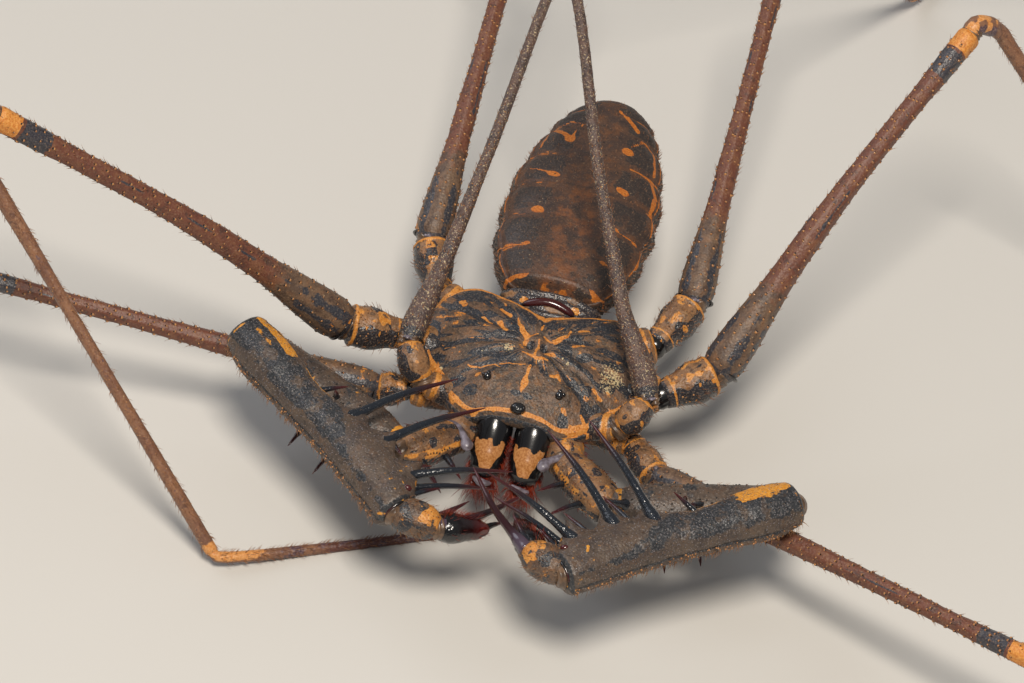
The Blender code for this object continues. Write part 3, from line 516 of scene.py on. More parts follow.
def growLimb(
    form, points, profile, sides=20, spacing=0.35, ends=(0.5, 0.5), upward=up, marks=None, relief=None,
    floor=False
):
    # One length of limb, rounded at both ends. marks gives the shares of orange, dark, pale and red,
    # and relief an outward shift.
    layers = paintLayers(form)
    line = smoothLine(points)
    total = lengthsAlong(line)
    whole = total[-1]
    steps = max(3, int((whole - sum(ends)) / spacing))
    places = [ends[0] * share for share in endSteps]
    places += [ends[0] + (whole - sum(ends)) * step / steps for step in range(steps + 1)]
    places += [whole - ends[1] * share for share in reversed(endSteps)]
    matrices = []
    for distance in places:
        centre, way = spotOn(line, total, distance)
        width, height, sideways, upShift = profileAt(profile, distance / whole)
        shrink = 1.0
        for near, reach in ((distance, ends[0]), (whole - distance, ends[1])):
            if near < reach:
                shrink = math.sqrt(1 - (1 - near / reach) ** 2)
        side = way.cross(upward).normalized()
        centre = centre + side * sideways + side.cross(way) * upShift
        matrices.append(ringMatrix(centre, way, width * shrink, height * shrink, upward))
    rows = extrudeRings(form, matrices, sides)
    for row, distance, matrix in zip(rows, places, matrices):
        share = distance / whole
        centre = matrix.to_translation()
        for index, vertex in enumerate(row):
            turn = index / sides
            if relief:
                outward = vertex.co - centre
                if outward.length > 1e-6:
                    vertex.co += outward.normalized() * relief(share, turn, vertex.co)
            if floor:
                vertex.co.z = max(vertex.co.z, 0.0)
            values = (share, turn) + (tuple(marks(share, turn, vertex.co)) if marks else ())
            for layer, value in zip(layers, values):
                vertex[layer] = value
    return rows


def surfaceAt(rows, share, turn):      # place, outward direction and lie of a spot on a limb's skin
    level = min(max(share, 0.0), 1.0) * (len(rows) - 1)
    low = min(int(level), len(rows) - 2)
    count = len(rows[0])
    index = int(turn * count) % count
    following = (index + 1) % count
    here = rows[low][index].co.lerp(rows[low + 1][index].co, level - low)
    beside = rows[low][following].co.lerp(rows[low + 1][following].co, level - low)
    spot = here.lerp(beside, turn * count % 1.0)
    lie = (rows[low + 1][index].co - rows[low][index].co).normalized()
    out = (beside - here).cross(lie)
    middle = rows[low][index].co.lerp(rows[low][(index + count // 2) % count].co, 0.5)
    out = out.normalized() if out.length > 1e-9 else (spot - middle).normalized()
    if out.dot(spot - middle) < 0:
        out = -out
    return spot, out, lie


# Hairs and knobs: collected first, then built as joined meshes of small closed shapes
lowestRoot = 0.12      # hairs start above this level and end above the floor
lowestTip = 0.05
hairs = {"brown": [], "tan": [], "red": []}
knobs = {"horn": [], "grey": [], "pearl": [], "black": []}


def addHair(kind, spot, way, length, thick, cell, bend=Vector()):
    way = way.normalized()
    if (spot + (way + bend) * length).z > lowestTip and spot.z > lowestRoot:
        hairs[kind].append((spot, way, bend, length, thick, cell))


def addKnob(kind, spot, out, radius, height, cell):
    knobs[kind].append((spot, out, radius, height, cell))


cellCount = 0


def nextCell():      # each skin has its own square on the bake map
    global cellCount
    cellCount += 1
    return cellCount - 1


def cellPlace(cell, turn, share):
    column, level = cell % 8, cell // 8
    return ((column + 0.06 + 0.88 * (turn % 1.0)) / 8, (level + 0.06 + 0.88 * share) / 8)


def crossAxes(way):
    side = way.cross(up)
    side = side.normalized() if side.length > 1e-4 else Vector((1, 0, 0))
    return side, side.cross(way)


def buildShapes(name, shapes, material):      # shapes: rings of corners with a tip, base closed
    corners, faces, spots, shares = [], [], [], []
    for rings, tip, uv in shapes:
        start = len(corners)
        count = len(rings[0])
        for level, ring in enumerate(rings):
            corners.extend(ring)
            for index in range(count):
                angle = 2 * math.pi * index / count
                reach = 0.0015 * (1 - level / (len(rings) + 0.5))
                spots.append((uv[0] + reach * math.cos(angle), uv[1] + reach * math.sin(angle)))
                shares.append(level / len(rings))
        corners.append(tip)
        spots.append(uv)
        shares.append(1.0)
        for level in range(len(rings) - 1):
            low = start + level * count
            for index in range(count):
                following = (index + 1) % count
                faces.append((low + index, low + following, low + count + following, low + count + index))
        last = start + (len(rings) - 1) * count
        for index in range(count):
            faces.append((last + index, last + (index + 1) % count, start + len(rings) * count))
        faces.append(tuple(start + index for index in reversed(range(count))))
    mesh = bpy.data.meshes.new(name)
    mesh.from_pydata([(corner + bodyPlace) * mm for corner in corners], [], faces)
    bakeMap = mesh.uv_layers.new(name="OFBake")
    loopCorners = np.empty(len(mesh.loops), np.int32)
    mesh.loops.foreach_get("vertex_index", loopCorners)
    bakeMap.data.foreach_set("uv", np.array(spots, np.float32)[loopCorners].ravel())
    along = mesh.attributes.new("along", "FLOAT", "POINT")
    along.data.foreach_set("value", np.array(shares, np.float32))
    mesh.shade_smooth()
    mesh.materials.append(material)
    piece = bpy.data.objects.new(name, mesh)
    bpy.context.scene.collection.objects.link(piece)
    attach(piece, "root")
    mesh.calc_loop_triangles()
    print(name, len(shapes), "shapes", len(mesh.loop_triangles), "triangles")
    return piece


def hairShape(hair):
    spot, way, bend, length, thick, cell = hair
    side, top = crossAxes(way)
    rings = []
    for share, size in ((-0.06, 1.0), (0.5, 0.75)):
        centre = spot + way * length * share + bend * length * share * share
        rings.append([centre + (side * math.cos(angle) + top * math.sin(angle)) * thick / 2 * size
                      for angle in (0.0, 2 * math.pi / 3, 4 * math.pi / 3)])
    return rings, spot + way * length + bend * length, cell


def knobShape(knob):
    spot, out, radius, height, cell = knob
    side, top = crossAxes(out)
    large = radius > 0.06
    rings = []
    for rise, size in (
        ((-0.25, 1.05), (0.35, 0.86), (0.85, 0.42)) if large else ((-0.3, 1.05), (0.55, 0.72))
    ):
        rings.append(
            [
                spot + out * height * rise
                + (side * math.cos(angle) + top * math.sin(angle)) * radius * size
                for angle in (2 * math.pi * index / (6 if large else 5) for index in range(6 if large else 5))
            ]
        )
    return rings, spot + out * height, cell


def bristleLimb(rows, cell, kind, count, length, thick, lean=0.7, turns=(0.0, 1.0), shares=(0.03, 0.97)):
    for _ in range(count):
        share = draw.uniform(*shares)
        turn = draw.uniform(*turns) % 1.0
        spot, out, lie = surfaceAt(rows, share, turn)
        if spot.z < lowestRoot:
            continue
        way = (
            out * draw.uniform(0.6, 1.0) + lie * lean * draw.uniform(0.7, 1.3)
            + Vector((draw.uniform(-0.15, 0.15) for _ in range(3)))
        )
        addHair(
            kind, spot, way, length * draw.uniform(0.6, 1.25), thick, cellPlace(cell, turn, share),
            lie * 0.25
        )


def scatterKnobs(rows, cell, kind, count, radii, turns=(0.0, 1.0), shares=(0.03, 0.97)):
    for _ in range(count):
        share, turn = draw.uniform(*shares), draw.uniform(*turns) % 1.0
        spot, out, _ = surfaceAt(rows, share, turn)
        radius = draw.uniform(*radii)
        addKnob(kind, spot, out, radius, radius * 0.8, cellPlace(cell, turn, share))


def tubercleRows(rows, cell, rowTurns, spacing, radius, shares=(0.05, 0.95), hair=(0.4, 0.34)):
    # Rows of tan tubercles, each with a black socket on its far side and some with a short bristle
    whole = sum((high[0].co - low[0].co).length for low, high in zip(rows, rows[1:]))
    for turn in rowTurns:
        share = shares[0] + draw.uniform(0, spacing / whole)
        while share < shares[1]:
            here = (turn + draw.uniform(-0.025, 0.025)) % 1.0
            spot, out, lie = surfaceAt(rows, share, here)
            size = radius * draw.uniform(0.75, 1.25)
            uv = cellPlace(cell, here, share)
            if spot.z > 0.2:
                addKnob("horn", spot, out, size, size * 0.85, uv)
                addKnob(
                    "black", spot + lie * size * 0.8 + out * size * 0.25, (out + lie * 0.5).normalized(),
                    size * 0.68, size * 0.4, uv
                )
                if draw.random() < hair[0]:
                    addHair(
                        "brown", spot + out * size * 0.5, out * 0.5 + lie, hair[1] * draw.uniform(0.7, 1.3),
                        0.04, uv, out * 0.2
                    )
            share += spacing / whole * draw.uniform(0.7, 1.3)


def collar(form, centre, way, radius, length, folds=3):      # a folded sleeve of membrane round a joint
    steps = folds * 4
    matrices = []
    for step in range(steps + 1):
        share = step / steps
        size = radius * 2 * (
            1 + 0.07 * math.cos(2 * math.pi * folds * share)
        ) * (1 - 0.25 * abs(2 * share - 1) ** 3)
        matrices.append(ringMatrix(centre + way * length * (share - 0.5), way, size, size))
    extrudeRings(form, matrices, 20)


def bead(form, centre, radius, squash=(1, 1, 1), along=0.0):      # a small polished knob
    layer = paintLayers(form)[0]
    made = bmesh.ops.create_uvsphere(form, u_segments=14, v_segments=9, radius=radius)
    bmesh.ops.scale(form, vec=squash, verts=made["verts"])
    bmesh.ops.translate(form, vec=centre, verts=made["verts"])
    for vertex in made["verts"]:
        vertex[layer] = along


# a pleated lobe of membrane that fans out from a hinge
def foldedLobe(form, joint, way, side, down, size):
    layers = paintLayers(form)
    made = bmesh.ops.create_uvsphere(form, u_segments=56, v_segments=24, radius=1.0)
    reach, width, depth = size
    middle = joint + side * width * 0.9 + down * depth * 0.85
    for vertex in made["verts"]:
        x, y, z = vertex.co
        pleat = 1 + 0.09 * math.cos(22 * math.atan2(x, z + 1.15)) if abs(z) < 0.97 else 1.0
        vertex[layers[2]] = 0.9 * hump(abs(x), 0.8, 0.09)
        vertex.co = (
            middle + way * x * reach * pleat + side * y * width * pleat + down * (-z) * depth * pleat
        )


def hinge(place, way, base, pieces):      # what shows where a trochanter meets a femur
    across = way.cross(up).normalized()
    top = across.cross(way)
    joint = place + top * base * 0.33
    for turn in (-1, 1):
        foldedLobe(pieces["membranes"], joint, way, across * turn, -top, (
            base * 0.32, base * 0.2, base * 0.34,
        ))
        arc = []
        for step in range(7):
            angle = math.radians(40 + 22 * step)
            arc.append(
                place + way * base * 0.14 + across * turn * math.sin(angle) * base * 0.5
                + top * math.cos(angle) * base * 0.44
            )
        growLimb(
            pieces["knobs"], arc, ((0, 0.06), (0.5, base * 0.1, base * 0.08), (1, 0.06)), sides=10,
            spacing=0.1, ends=(0.05, 0.05), upward=way
        )
    bead(pieces["hinges"], joint + top * base * 0.1, base * 0.08, (1.2, 1.2, 0.7))
    for turn in (-1, 1):
        bead(pieces["hinges"], joint + top * base * 0.06 + across * turn * base * 0.12, base * 0.05)


pieces = {"membranes": bmesh.new(), "knobs": bmesh.new(), "hinges": bmesh.new(), "lobes": bmesh.new()}
print("tools and materials ready")


# Carapace: a low dome over a kidney-shaped margin, with a rolled rim, furrows running from the pits in its
# middle, and painted slate and orange marks

carapace = {
    "sides": 340, "rings": 96, "centre": (0.0, 0.6), "dome": 1.35, "depth": 1.0,
    "half": (
        (0.0, -5.0, 0.0), (1.7, -4.9, -0.3), (3.2, -4.9, -0.9), (4.7, -3.9, -0.9), (6.0, -2.2, -0.8),
        (7.1, -0.6, -0.7),
        (7.7, 1.5, -0.5), (7.5, 3.5, -0.2), (6.6, 5.1, 0.0), (5.1, 5.8, 0.2), (3.4, 5.3, 0.5),
        (1.6, 4.5, 0.8), (0.0, 3.8, 0.9),
    ),
    "pits": ((-0.33, 0.65), (0.52, 0.7)), "pitDepth": 0.38,
    # furrows on the left, mirrored on the right: start, end, width, depth
    "furrows": (
        ((0.6, 0.5), (4.6, -3.0), 0.34, 0.17), ((0.9, 0.8), (6.4, 0.0), 0.34, 0.18),
        ((0.9, 1.3), (6.3, 3.2), 0.34, 0.17),
        ((0.6, 1.6), (4.2, 5.0), 0.34, 0.16), ((0.0, -0.7), (3.4, -2.0), 0.28, 0.10),
        ((1.6, 2.6), (5.4, 4.6), 0.25, 0.08),
        ((1.6, 0.0), (5.6, -1.9), 0.25, 0.08),
    ),
    # orange strokes: start, end, half width there and at the end, strength
    "orange": (
        ((0.02, -1.2), (-0.02, -2.0), 0.05, 0.10, 1.0), ((-0.02, -2.0), (-0.05, -2.6), 0.10, 0.22, 1.0),
        ((-0.05, -2.6), (-0.08, -3.2), 0.22, 0.08, 1.0),
        ((0.15, 1.1), (0.1, -0.3), 0.07, 0.09, 1.0), ((-0.7, -0.25), (0.2, -0.45), 0.07, 0.10, 0.9),
        ((0.2, -0.45), (0.95, -0.45), 0.10, 0.07, 0.9),
        ((-0.5, 1.4), (-0.1, 1.7), 0.08, 0.06, 0.9), ((0.35, 1.6), (0.8, 1.3), 0.06, 0.08, 0.9),
        ((-0.75, 1.35), (-1.45, 2.25), 0.22, 0.13, 1.0), ((-1.45, 2.25), (-1.65, 2.9), 0.10, 0.05, 0.9),
        ((1.1, 1.35), (1.75, 2.15), 0.22, 0.13, 1.0),
        ((1.75, 2.15), (1.9, 2.9), 0.10, 0.05, 0.9), ((0.05, 2.1), (0.08, 2.7), 0.08, 0.06, 0.9),
        ((-2.7, 2.1), (-2.2, 1.45), 0.15, 0.18, 1.0),
        ((-3.9, 2.4), (-3.2, 1.9), 0.08, 0.10, 0.9), ((-2.9, 3.5), (-2.2, 3.0), 0.10, 0.12, 0.9),
        ((2.35, 1.25), (2.95, 1.75), 0.12, 0.14, 0.95),
        ((2.4, 3.0), (3.0, 3.25), 0.15, 0.10, 0.95), ((-3.15, -2.45), (-3.05, -2.35), 0.12, 0.12, 0.9),
        ((-3.9, -1.65), (-3.0, -1.75), 0.06, 0.06, 0.8),
        ((-3.0, -1.75), (-2.2, -1.5), 0.06, 0.06, 0.8), ((-2.2, -1.5), (-1.9, -1.7), 0.06, 0.05, 0.8),
        ((-1.9, -1.4), (-0.3, -1.25), 0.04, 0.05, 0.7),
        ((1.5, -1.6), (1.9, -1.4), 0.10, 0.12, 0.9), ((1.9, -1.4), (2.1, -1.7), 0.12, 0.09, 0.9),
        ((2.0, -1.9), (2.9, -1.9), 0.05, 0.05, 0.7),
        ((4.3, -1.2), (4.9, -1.6), 0.12, 0.10, 0.8), ((4.7, -4.0), (3.9, -3.2), 0.16, 0.10, 0.8),
        ((-5.7, -0.3), (-5.0, -0.35), 0.05, 0.05, 0.8),
        ((-5.5, 3.8), (-5.3, 3.5), 0.25, 0.25, 0.62), ((-5.6, 2.7), (-5.5, 2.5), 0.22, 0.22, 0.6),
        ((3.5, -4.3), (3.8, -4.2), 0.3, 0.3, 0.62),
        ((2.6, -3.2), (2.9, -3.6), 0.2, 0.2, 0.55), ((1.2, 0.2), (0.8, 0.2), 0.2, 0.2, 0.55),
        ((-0.9, 0.4), (-0.7, 1.0), 0.2, 0.2, 0.55),
    ),
    # slate patches: centre, half length, half width, turn in degrees, strength
    "slate": (
        ((-6.6, 0.9), 0.95, 0.30, 100, 1.0), ((-5.9, 3.6), 0.95, 0.17, 70, 1.0),
        ((-4.9, 4.9), 0.8, 0.3, 10, 0.9), ((-4.3, 4.2), 0.8, 0.3, 0, 0.9),
        ((-5.9, 2.1), 0.45, 0.24, 0, 1.0), ((-4.8, 2.9), 0.9, 0.32, -25, 1.0),
        ((-2.0, 2.4), 1.45, 0.36, -64, 1.0), ((-2.2, 1.0), 0.8, 0.36, 0, 0.9),
        ((-1.05, 3.1), 0.95, 0.4, -45, 0.9), ((-5.6, -0.2), 0.34, 0.3, 0, 1.0),
        ((-5.9, -1.0), 0.42, 0.27, -45, 1.0), ((-4.4, -2.7), 0.6, 0.36, 20, 1.0),
        ((-3.3, -3.4), 0.5, 0.4, 0, 0.6), ((-2.6, -0.7), 1.2, 0.26, 8, 0.9),
        ((-0.4, -3.4), 0.32, 0.22, 0, 0.9), ((0.35, -3.45), 0.32, 0.22, 0, 0.9),
        ((0.05, -1.0), 0.27, 0.2, 0, 0.8), ((0.8, 2.8), 0.8, 0.42, 10, 0.9),
        ((1.9, 0.8), 0.8, 0.4, -50, 0.85), ((2.2, 2.0), 0.7, 0.3, 40, 0.95),
        ((4.2, 3.3), 0.85, 0.22, 0, 0.95), ((4.0, 4.4), 0.9, 0.27, 0, 1.0),
        ((2.1, 3.8), 0.7, 0.22, 20, 0.95), ((4.6, 1.9), 0.9, 0.36, 0, 0.95),
        ((3.2, 0.8), 0.6, 0.3, 20, 0.85), ((5.3, 1.2), 0.5, 0.32, 0, 0.85),
        ((5.2, -0.6), 0.42, 0.32, 0, 0.9), ((6.7, -0.3), 0.42, 0.36, 0, 1.0),
        ((4.8, -2.25), 0.27, 0.22, 0, 1.0), ((4.1, -2.8), 0.75, 0.32, 100, 1.0),
        ((3.9, -1.6), 0.6, 0.26, 60, 0.9), ((2.9, -4.1), 0.35, 0.5, 0, 0.75),
        ((6.0, 3.0), 0.8, 0.3, 60, 0.8), ((-3.6, 0.5), 0.9, 0.25, 5, 0.7),
        ((3.4, -0.3), 0.7, 0.22, -15, 0.65), ((-1.6, -0.1), 0.5, 0.2, 20, 0.6),
    ),
    "dusty": ((5.2, 0.3, 1.1, 0.52), (5.0, -0.7, 0.7, 0.46), (-1.7, 0.0, 0.5, 0.5), (2.3, -0.25, 0.13, 0.9),
        (0.5, -0.55, 0.1, 0.8), (1.9, 0.05, 0.1, 0.7),
              (-3.2, -0.6, 0.1, 0.7), (-5.6, -1.75, 0.14, 0.9)),
    # how far inside the margin the orange band lies, and its half width, by the angle round the carapace's
    # middle
    "band": ((-180, 0.42, 0.15), (-150, 0.40, 0.13), (-122, 0.42, 0.16), (-112, 0.42, 0.2),
        (-103, 0.38, 0.12), (-75, 0.36, 0.08), (-55, 0.5, 0.13),
             (-30, 0.44, 0.16), (0, 0.5, 0.27), (30, 0.44, 0.16), (60, 0.42, 0.12), (100, 0.36, 0.07),
             (118, 0.40, 0.11), (135, 0.42, 0.16),
             (160, 0.42, 0.13), (180, 0.42, 0.15)),
}


def fromStroke(x, y, start, end):      # distance of a spot from a straight stroke, and how far along it
    ax, ay = start
    bx, by = end
    part = ((x - ax) * (bx - ax) + (y - ay) * (by - ay)) / max((bx - ax) ** 2 + (by - ay) ** 2, 1e-9)
    part = min(max(part, 0.0), 1.0)
    return math.hypot(x - ax - (bx - ax) * part, y - ay - (by - ay) * part), part


def inPatch(x, y, patch):      # 0 at a patch's centre, 1 at its edge
    (cx, cy), halfLength, halfWidth, turn = patch[:4]
    dx, dy = x - cx, y - cy
    if abs(dx) + abs(dy) > 3 * halfLength + 1:
        return 9.0
    c, s = math.cos(math.radians(turn)), math.sin(math.radians(turn))
    return math.hypot((dx * c + dy * s) / halfLength, (dy * c - dx * s) / halfWidth)


def paintStrokes(x, y, strokes):
    strongest = 0.0
    for start, end, firstWidth, lastWidth, strength in strokes:
        if abs(x - start[0]) + abs(y - start[1]) > 3.5:
            continue
        away, part = fromStroke(x, y, start, end)
        width = firstWidth + (lastWidth - firstWidth) * part
        if away < width * 1.6:
            strongest = max(strongest, strength * smoothStep(width * 1.5, width * 0.6, away))
    return strongest


def carapaceMargin():
    half = smoothLine(carapace["half"], 10)
    total = lengthsAlong(half)
    steps = carapace["sides"] // 2
    right = [spotOn(half, total, total[-1] * step / steps)[0] for step in range(steps + 1)]
    return right + [Vector((-point.x, point.y, point.z)) for point in reversed(right[1:-1])]


def carapaceTop(x, y, share, edge):
    height = edge * share ** 2 + carapace["dome"] * (1 - share ** 2.4)
    for px, py in carapace["pits"]:
        height -= carapace["pitDepth"] * math.exp(-((x - px) / 0.27) ** 2 - ((y - py) / 0.36) ** 2)
    height -= 0.22 * math.exp(-(x * x + (y - 0.85) ** 2) / 1.1)
    inside = smoothStep(1.0, 0.9, share)
    for start, end, width, depth in carapace["furrows"]:
        away, part = fromStroke(abs(x), y, start, end)
        height -= inside * depth * math.exp(-(away / width) ** 2) * (1 - 0.6 * part)
        height += inside * depth * 0.4 * math.exp(-((away - width * 2.2) / width) ** 2) * (1 - part)
    # the lateral eyes stand on low domes with faint rings round them
    dome = math.hypot(abs(x) - 2.4, y + 2.75)
    height += inside * (
        0.30 * math.exp(-dome * dome / 0.6) + 0.012 * math.sin(dome * 14) * smoothStep(2.2, 0.6, dome)
    )
    angle, away = math.atan2(y - 0.8, x), math.hypot(x, y - 0.8)
    streaks = noise.noise(Vector((math.cos(angle) * 9, math.sin(angle) * 9, away * 0.5)))
    rear = smoothStep(0.6, 1.6, away) * smoothStep(-2.6, -0.6, y + abs(x) * 0.35)
    height += inside * (
        0.06 * streaks * rear + 0.03 * rough((x, y, 0), 0.7) + 0.016 * rough((x, y, 3), 0.22)
    )
    return height


def paintCarapace(x, y, inset, bandInset, bandWidth):
    wx = x + 0.10 * rough((x, y, 0), 0.5, 3.0)
    wy = y + 0.10 * rough((x, y, 0), 0.5, 7.0)
    angle, away = math.atan2(y - 0.8, x), math.hypot(x, y - 0.8)
    streaks = noise.noise(Vector((math.cos(angle) * 11, math.sin(angle) * 11, away * 0.55)))
    fine = noise.noise(Vector((math.cos(angle) * 24 + 7, math.sin(angle) * 24, away * 0.9)))
    rear = smoothStep(0.5, 1.5, away) * smoothStep(-2.6, -0.6, y + abs(x) * 0.35)
    orange = paintStrokes(wx, wy, carapace["orange"])
    width = bandWidth * (1 + 0.6 * rough((x, y, 9), 0.6))
    orange = max(
        orange, smoothStep(width * 1.35, width * 0.6, abs(inset - bandInset - 0.05 * rough((x, y, 5), 0.7)))
    )
    orange = max(orange, 0.42 * smoothStep(0.1, 0.45, -fine) * rear)
    dark = 0.0
    for patch in carapace["slate"]:
        near = inPatch(wx, wy, patch)
        if near < 1.5:
            dark = max(dark, patch[4] * smoothStep(1.35, 0.75, near))
    dark = max(dark, rear * 0.72 * smoothStep(-0.15, 0.25, streaks + 0.45 * fine))
    for px, py in carapace["pits"]:
        dark = max(dark, smoothStep(1.4, 0.8, math.hypot((x - px) / 0.24, (y - py) / 0.34)))
    dark *= smoothStep(bandInset - 0.05, bandInset + 0.25, inset)
    if inset < bandInset - bandWidth:
        dark = max(dark, 0.42 + 0.5 * hump(inset, 0.07, 0.05))
    pale = 0.12
    for px, py, radius, strength in carapace["dusty"]:
        pale = max(pale, strength * smoothStep(radius * 1.3, radius * 0.4, math.hypot(wx - px, wy - py)))
    return 0.0, 0.0, orange, dark, pale, 0.0


def makeCarapace():
    margin = carapaceMargin()
    count = len(margin)
    centre = Vector((*carapace["centre"], 0))
    bands = []
    for point in margin:
        angle = math.degrees(math.atan2(point.x, point.y - centre.y))      # 0 behind, positive on the left
        for low, high in zip(carapace["band"], carapace["band"][1:]):
            if low[0] <= angle <= high[0]:
                part = (angle - low[0]) / (high[0] - low[0])
                bands.append((low[1] + (high[1] - low[1]) * part, low[2] + (high[2] - low[2]) * part))
                break
    rim = (
        (0.5, -0.35), (0.8, -0.9), (0.93, -1.02), (0.965, -0.95), (0.985, -0.8), (0.996, -0.62),
        (1.0, -0.42), (0.998, -0.25), (0.991, -0.12), (0.984, -0.08), (0.977, -0.11), (0.970, -0.15),
        (0.963, -0.12)
    )
    rings = carapace["rings"]
    shares = [0.957 - 0.945 * step / (rings - 1) for step in range(rings)]
    form = bmesh.new()
    layers = paintLayers(form)
    made = bmesh.ops.create_circle(form, cap_ends=False, segments=count, radius=1.0)
    row = list(made["verts"])
    edges = list({edge for vertex in row for edge in vertex.link_edges})
    firstEdges = edges
    rimPaint = (0.0, 0.0, 0.0, 0.45, 0.0, 0.0)
    ground = []
    for level, (share, drop) in enumerate(list(rim) + [(share, None) for share in shares]):
        if level:
            edges, row = nextRow(form, edges, row)
        for vertex, point, band in zip(row, margin, bands):
            spot = centre + (point - centre) * share
            inset = (point - spot).xy.length
            if drop is None:
                high = carapaceTop(spot.x, spot.y, share, point.z)
            else:
                high = point.z + drop * carapace["depth"] + (0.02 * rough(spot, 0.6) if share > 0.9 else 0)
            vertex.co = Vector((spot.x, spot.y, bodyHeight + high))
            if drop is None:
                ground.append(vertex.co.copy())
            values = paintCarapace(spot.x, spot.y, inset, *band) if level > 5 else rimPaint
            for layer, value in zip(layers, values):
                vertex[layer] = value
    bmesh.ops.contextual_create(form, geom=firstEdges)
    bmesh.ops.contextual_create(form, geom=edges)
    cell = nextCell()
    for index in range(900):      # pits and granules scattered over the dome
        place = draw.choice(ground)
        if draw.random() < 0.35 or (place.xy - centre.xy).length > 2:
            uv = cellPlace(cell, 0.5 + place.x / 17, 0.5 + (place.y - 0.6) / 17)
            addKnob(
                ("black", "grey", "grey")[index % 3], place, up, draw.uniform(0.025, 0.05),
                draw.uniform(0.01, 0.03), uv
            )
    finishPiece(form, "carapace_shell", carapaceSkin, ("carapace",))
    return ground


carapaceGround = makeCarapace()      # places on its top, where the eyes stand
print("carapace made")


# Eyes: a low rough mound with the middle pair in its sides, and the lateral groups, of which one bead shows

eyes = {
    "mound": (0.5, 0.42, 0.3), "medianLens": 0.12,
    "lateral": {"right": (-2.45, -2.68), "left": (2.32, -2.86)}, "lateralLens": 0.29
}


def makeEyes():
    middle = Vector((*eyeSpot, bodyHeight + 0.45))
    form = bmesh.new()
    made = bmesh.ops.create_uvsphere(form, u_segments=48, v_segments=30, radius=1.0)
    bmesh.ops.scale(form, vec=eyes["mound"], verts=made["verts"])
    for vertex in form.verts:
        vertex.co *= 1 + 0.1 * rough(vertex.co, 0.11)
    bmesh.ops.translate(form, vec=middle, verts=form.verts)
    finishPiece(form, "eye_mound", moundSkin, ("eyes_median",))
    form = bmesh.new()
    for turn in (-1, 1):
        bead(form, middle + Vector((turn * 0.33, -0.05, 0.12)), eyes["medianLens"])
    finishPiece(form, "median_lenses", eyeLens, ())
    for side, turn in (("right", -1), ("left", 1)):
        form = bmesh.new()
        for dx, dy, size, sunk in ((0, 0, 1.0, 0.02), (0.24, 0.18, 0.55, -0.02), (
            -0.02, 0.32, 0.55, -0.02,
        )):
            x, y = eyes["lateral"][side][0] + dx * turn, eyes["lateral"][side][1] + dy
            level = min(carapaceGround, key=lambda place: (place.x - x) ** 2 + (place.y - y) ** 2).z
            bead(form, Vector((x, y, level + sunk)), eyes["lateralLens"] * size)
        finishPiece(form, "lateral_lenses_" + side, eyeLens, ("eyes_lateral_" + side,))


makeEyes()
print("eyes made")


# Abdomen: overlapping plates above with scalloped sides, and a dark folded skin round them and below

abdomen = {
    "plates": ((5.9, 2.4), (6.5, 3.5), (9.0, 4.75), (12.1, 5.2), (15.3, 5.3), (18.4, 4.95), (21.6, 4.1),
        (23.4, 3.4), (24.6, 2.65), (25.3, 1.95), (25.7, 1.1)),
    "top": 2.1, "belly": 1.9, "step": 0.2, "lean": 0.42, "sides": 160, "spacing": 0.13,
    # bright ovals: centre, half length, half width, turn, strength
    "ovals": (
        ((-2.15, 6.4), 0.36, 0.2, 10, 1.0), ((2.6, 6.4), 0.34, 0.2, -20, 1.0),
        ((-2.6, 9.25), 0.26, 0.15, 10, 1.0), ((2.6, 9.0), 0.25, 0.2, 0, 0.9),
        ((-2.5, 12.6), 0.42, 0.3, 0, 1.0), ((2.9, 12.3), 0.25, 0.25, 0, 0.75),
        ((-2.2, 16.2), 0.45, 0.27, -10, 0.85), ((2.6, 16.0), 0.46, 0.26, -8, 1.0),
        ((-1.9, 20.0), 0.4, 0.3, -35, 1.0), ((2.2, 19.9), 0.42, 0.32, 0, 1.0),
    ),
    # orange lines: start, end, half width at both ends, strength
    "lines": (
        ((-4.4, 6.35), (-2.2, 6.35), 0.11, 0.13, 0.95), ((-4.5, 9.2), (-2.7, 9.2), 0.07, 0.08, 0.85),
        ((-4.6, 12.25), (-3.2, 12.2), 0.06, 0.05, 0.6),
        ((-3.9, 16.8), (-2.5, 16.3), 0.07, 0.07, 0.7), ((-4.1, 18.4), (-3.0, 18.6), 0.09, 0.05, 0.8),
        ((-1.9, 20.0), (-3.0, 21.1), 0.14, 0.16, 0.95),
        ((-3.7, 19.2), (-3.4, 21.0), 0.06, 0.07, 0.7), ((-3.4, 21.0), (-2.2, 22.0), 0.07, 0.08, 0.8),
        ((-2.2, 22.0), (-1.2, 21.8), 0.08, 0.06, 0.75),
        ((-1.2, 21.8), (-1.8, 20.3), 0.07, 0.07, 0.75), ((3.3, 12.1), (4.4, 11.9), 0.07, 0.08, 0.75),
        ((2.2, 12.9), (3.3, 12.1), 0.06, 0.08, 0.7),
        ((3.3, 18.4), (4.3, 18.2), 0.10, 0.12, 1.0), ((4.3, 18.2), (4.75, 17.0), 0.12, 0.13, 1.0),
        ((4.75, 17.0), (4.75, 15.3), 0.13, 0.10, 1.0),
        ((2.9, 6.4), (4.2, 6.9), 0.12, 0.06, 0.8), ((3.9, 21.0), (4.3, 19.0), 0.08, 0.10, 0.95),
        ((2.3, 20.4), (3.0, 21.6), 0.06, 0.08, 0.8),
        ((3.0, 21.6), (3.9, 21.0), 0.08, 0.08, 0.9), ((0.9, 23.8), (2.4, 22.3), 0.1, 0.2, 0.72),
        ((-1.0, 5.8), (-0.25, 5.9), 0.22, 0.2, 0.52),
        ((0.25, 5.9), (0.9, 5.8), 0.2, 0.22, 0.5), ((3.0, 15.6), (3.6, 15.4), 0.06, 0.04, 0.6),
        ((-3.4, 15.4), (-2.6, 15.4), 0.05, 0.05, 0.5),
    ),
}


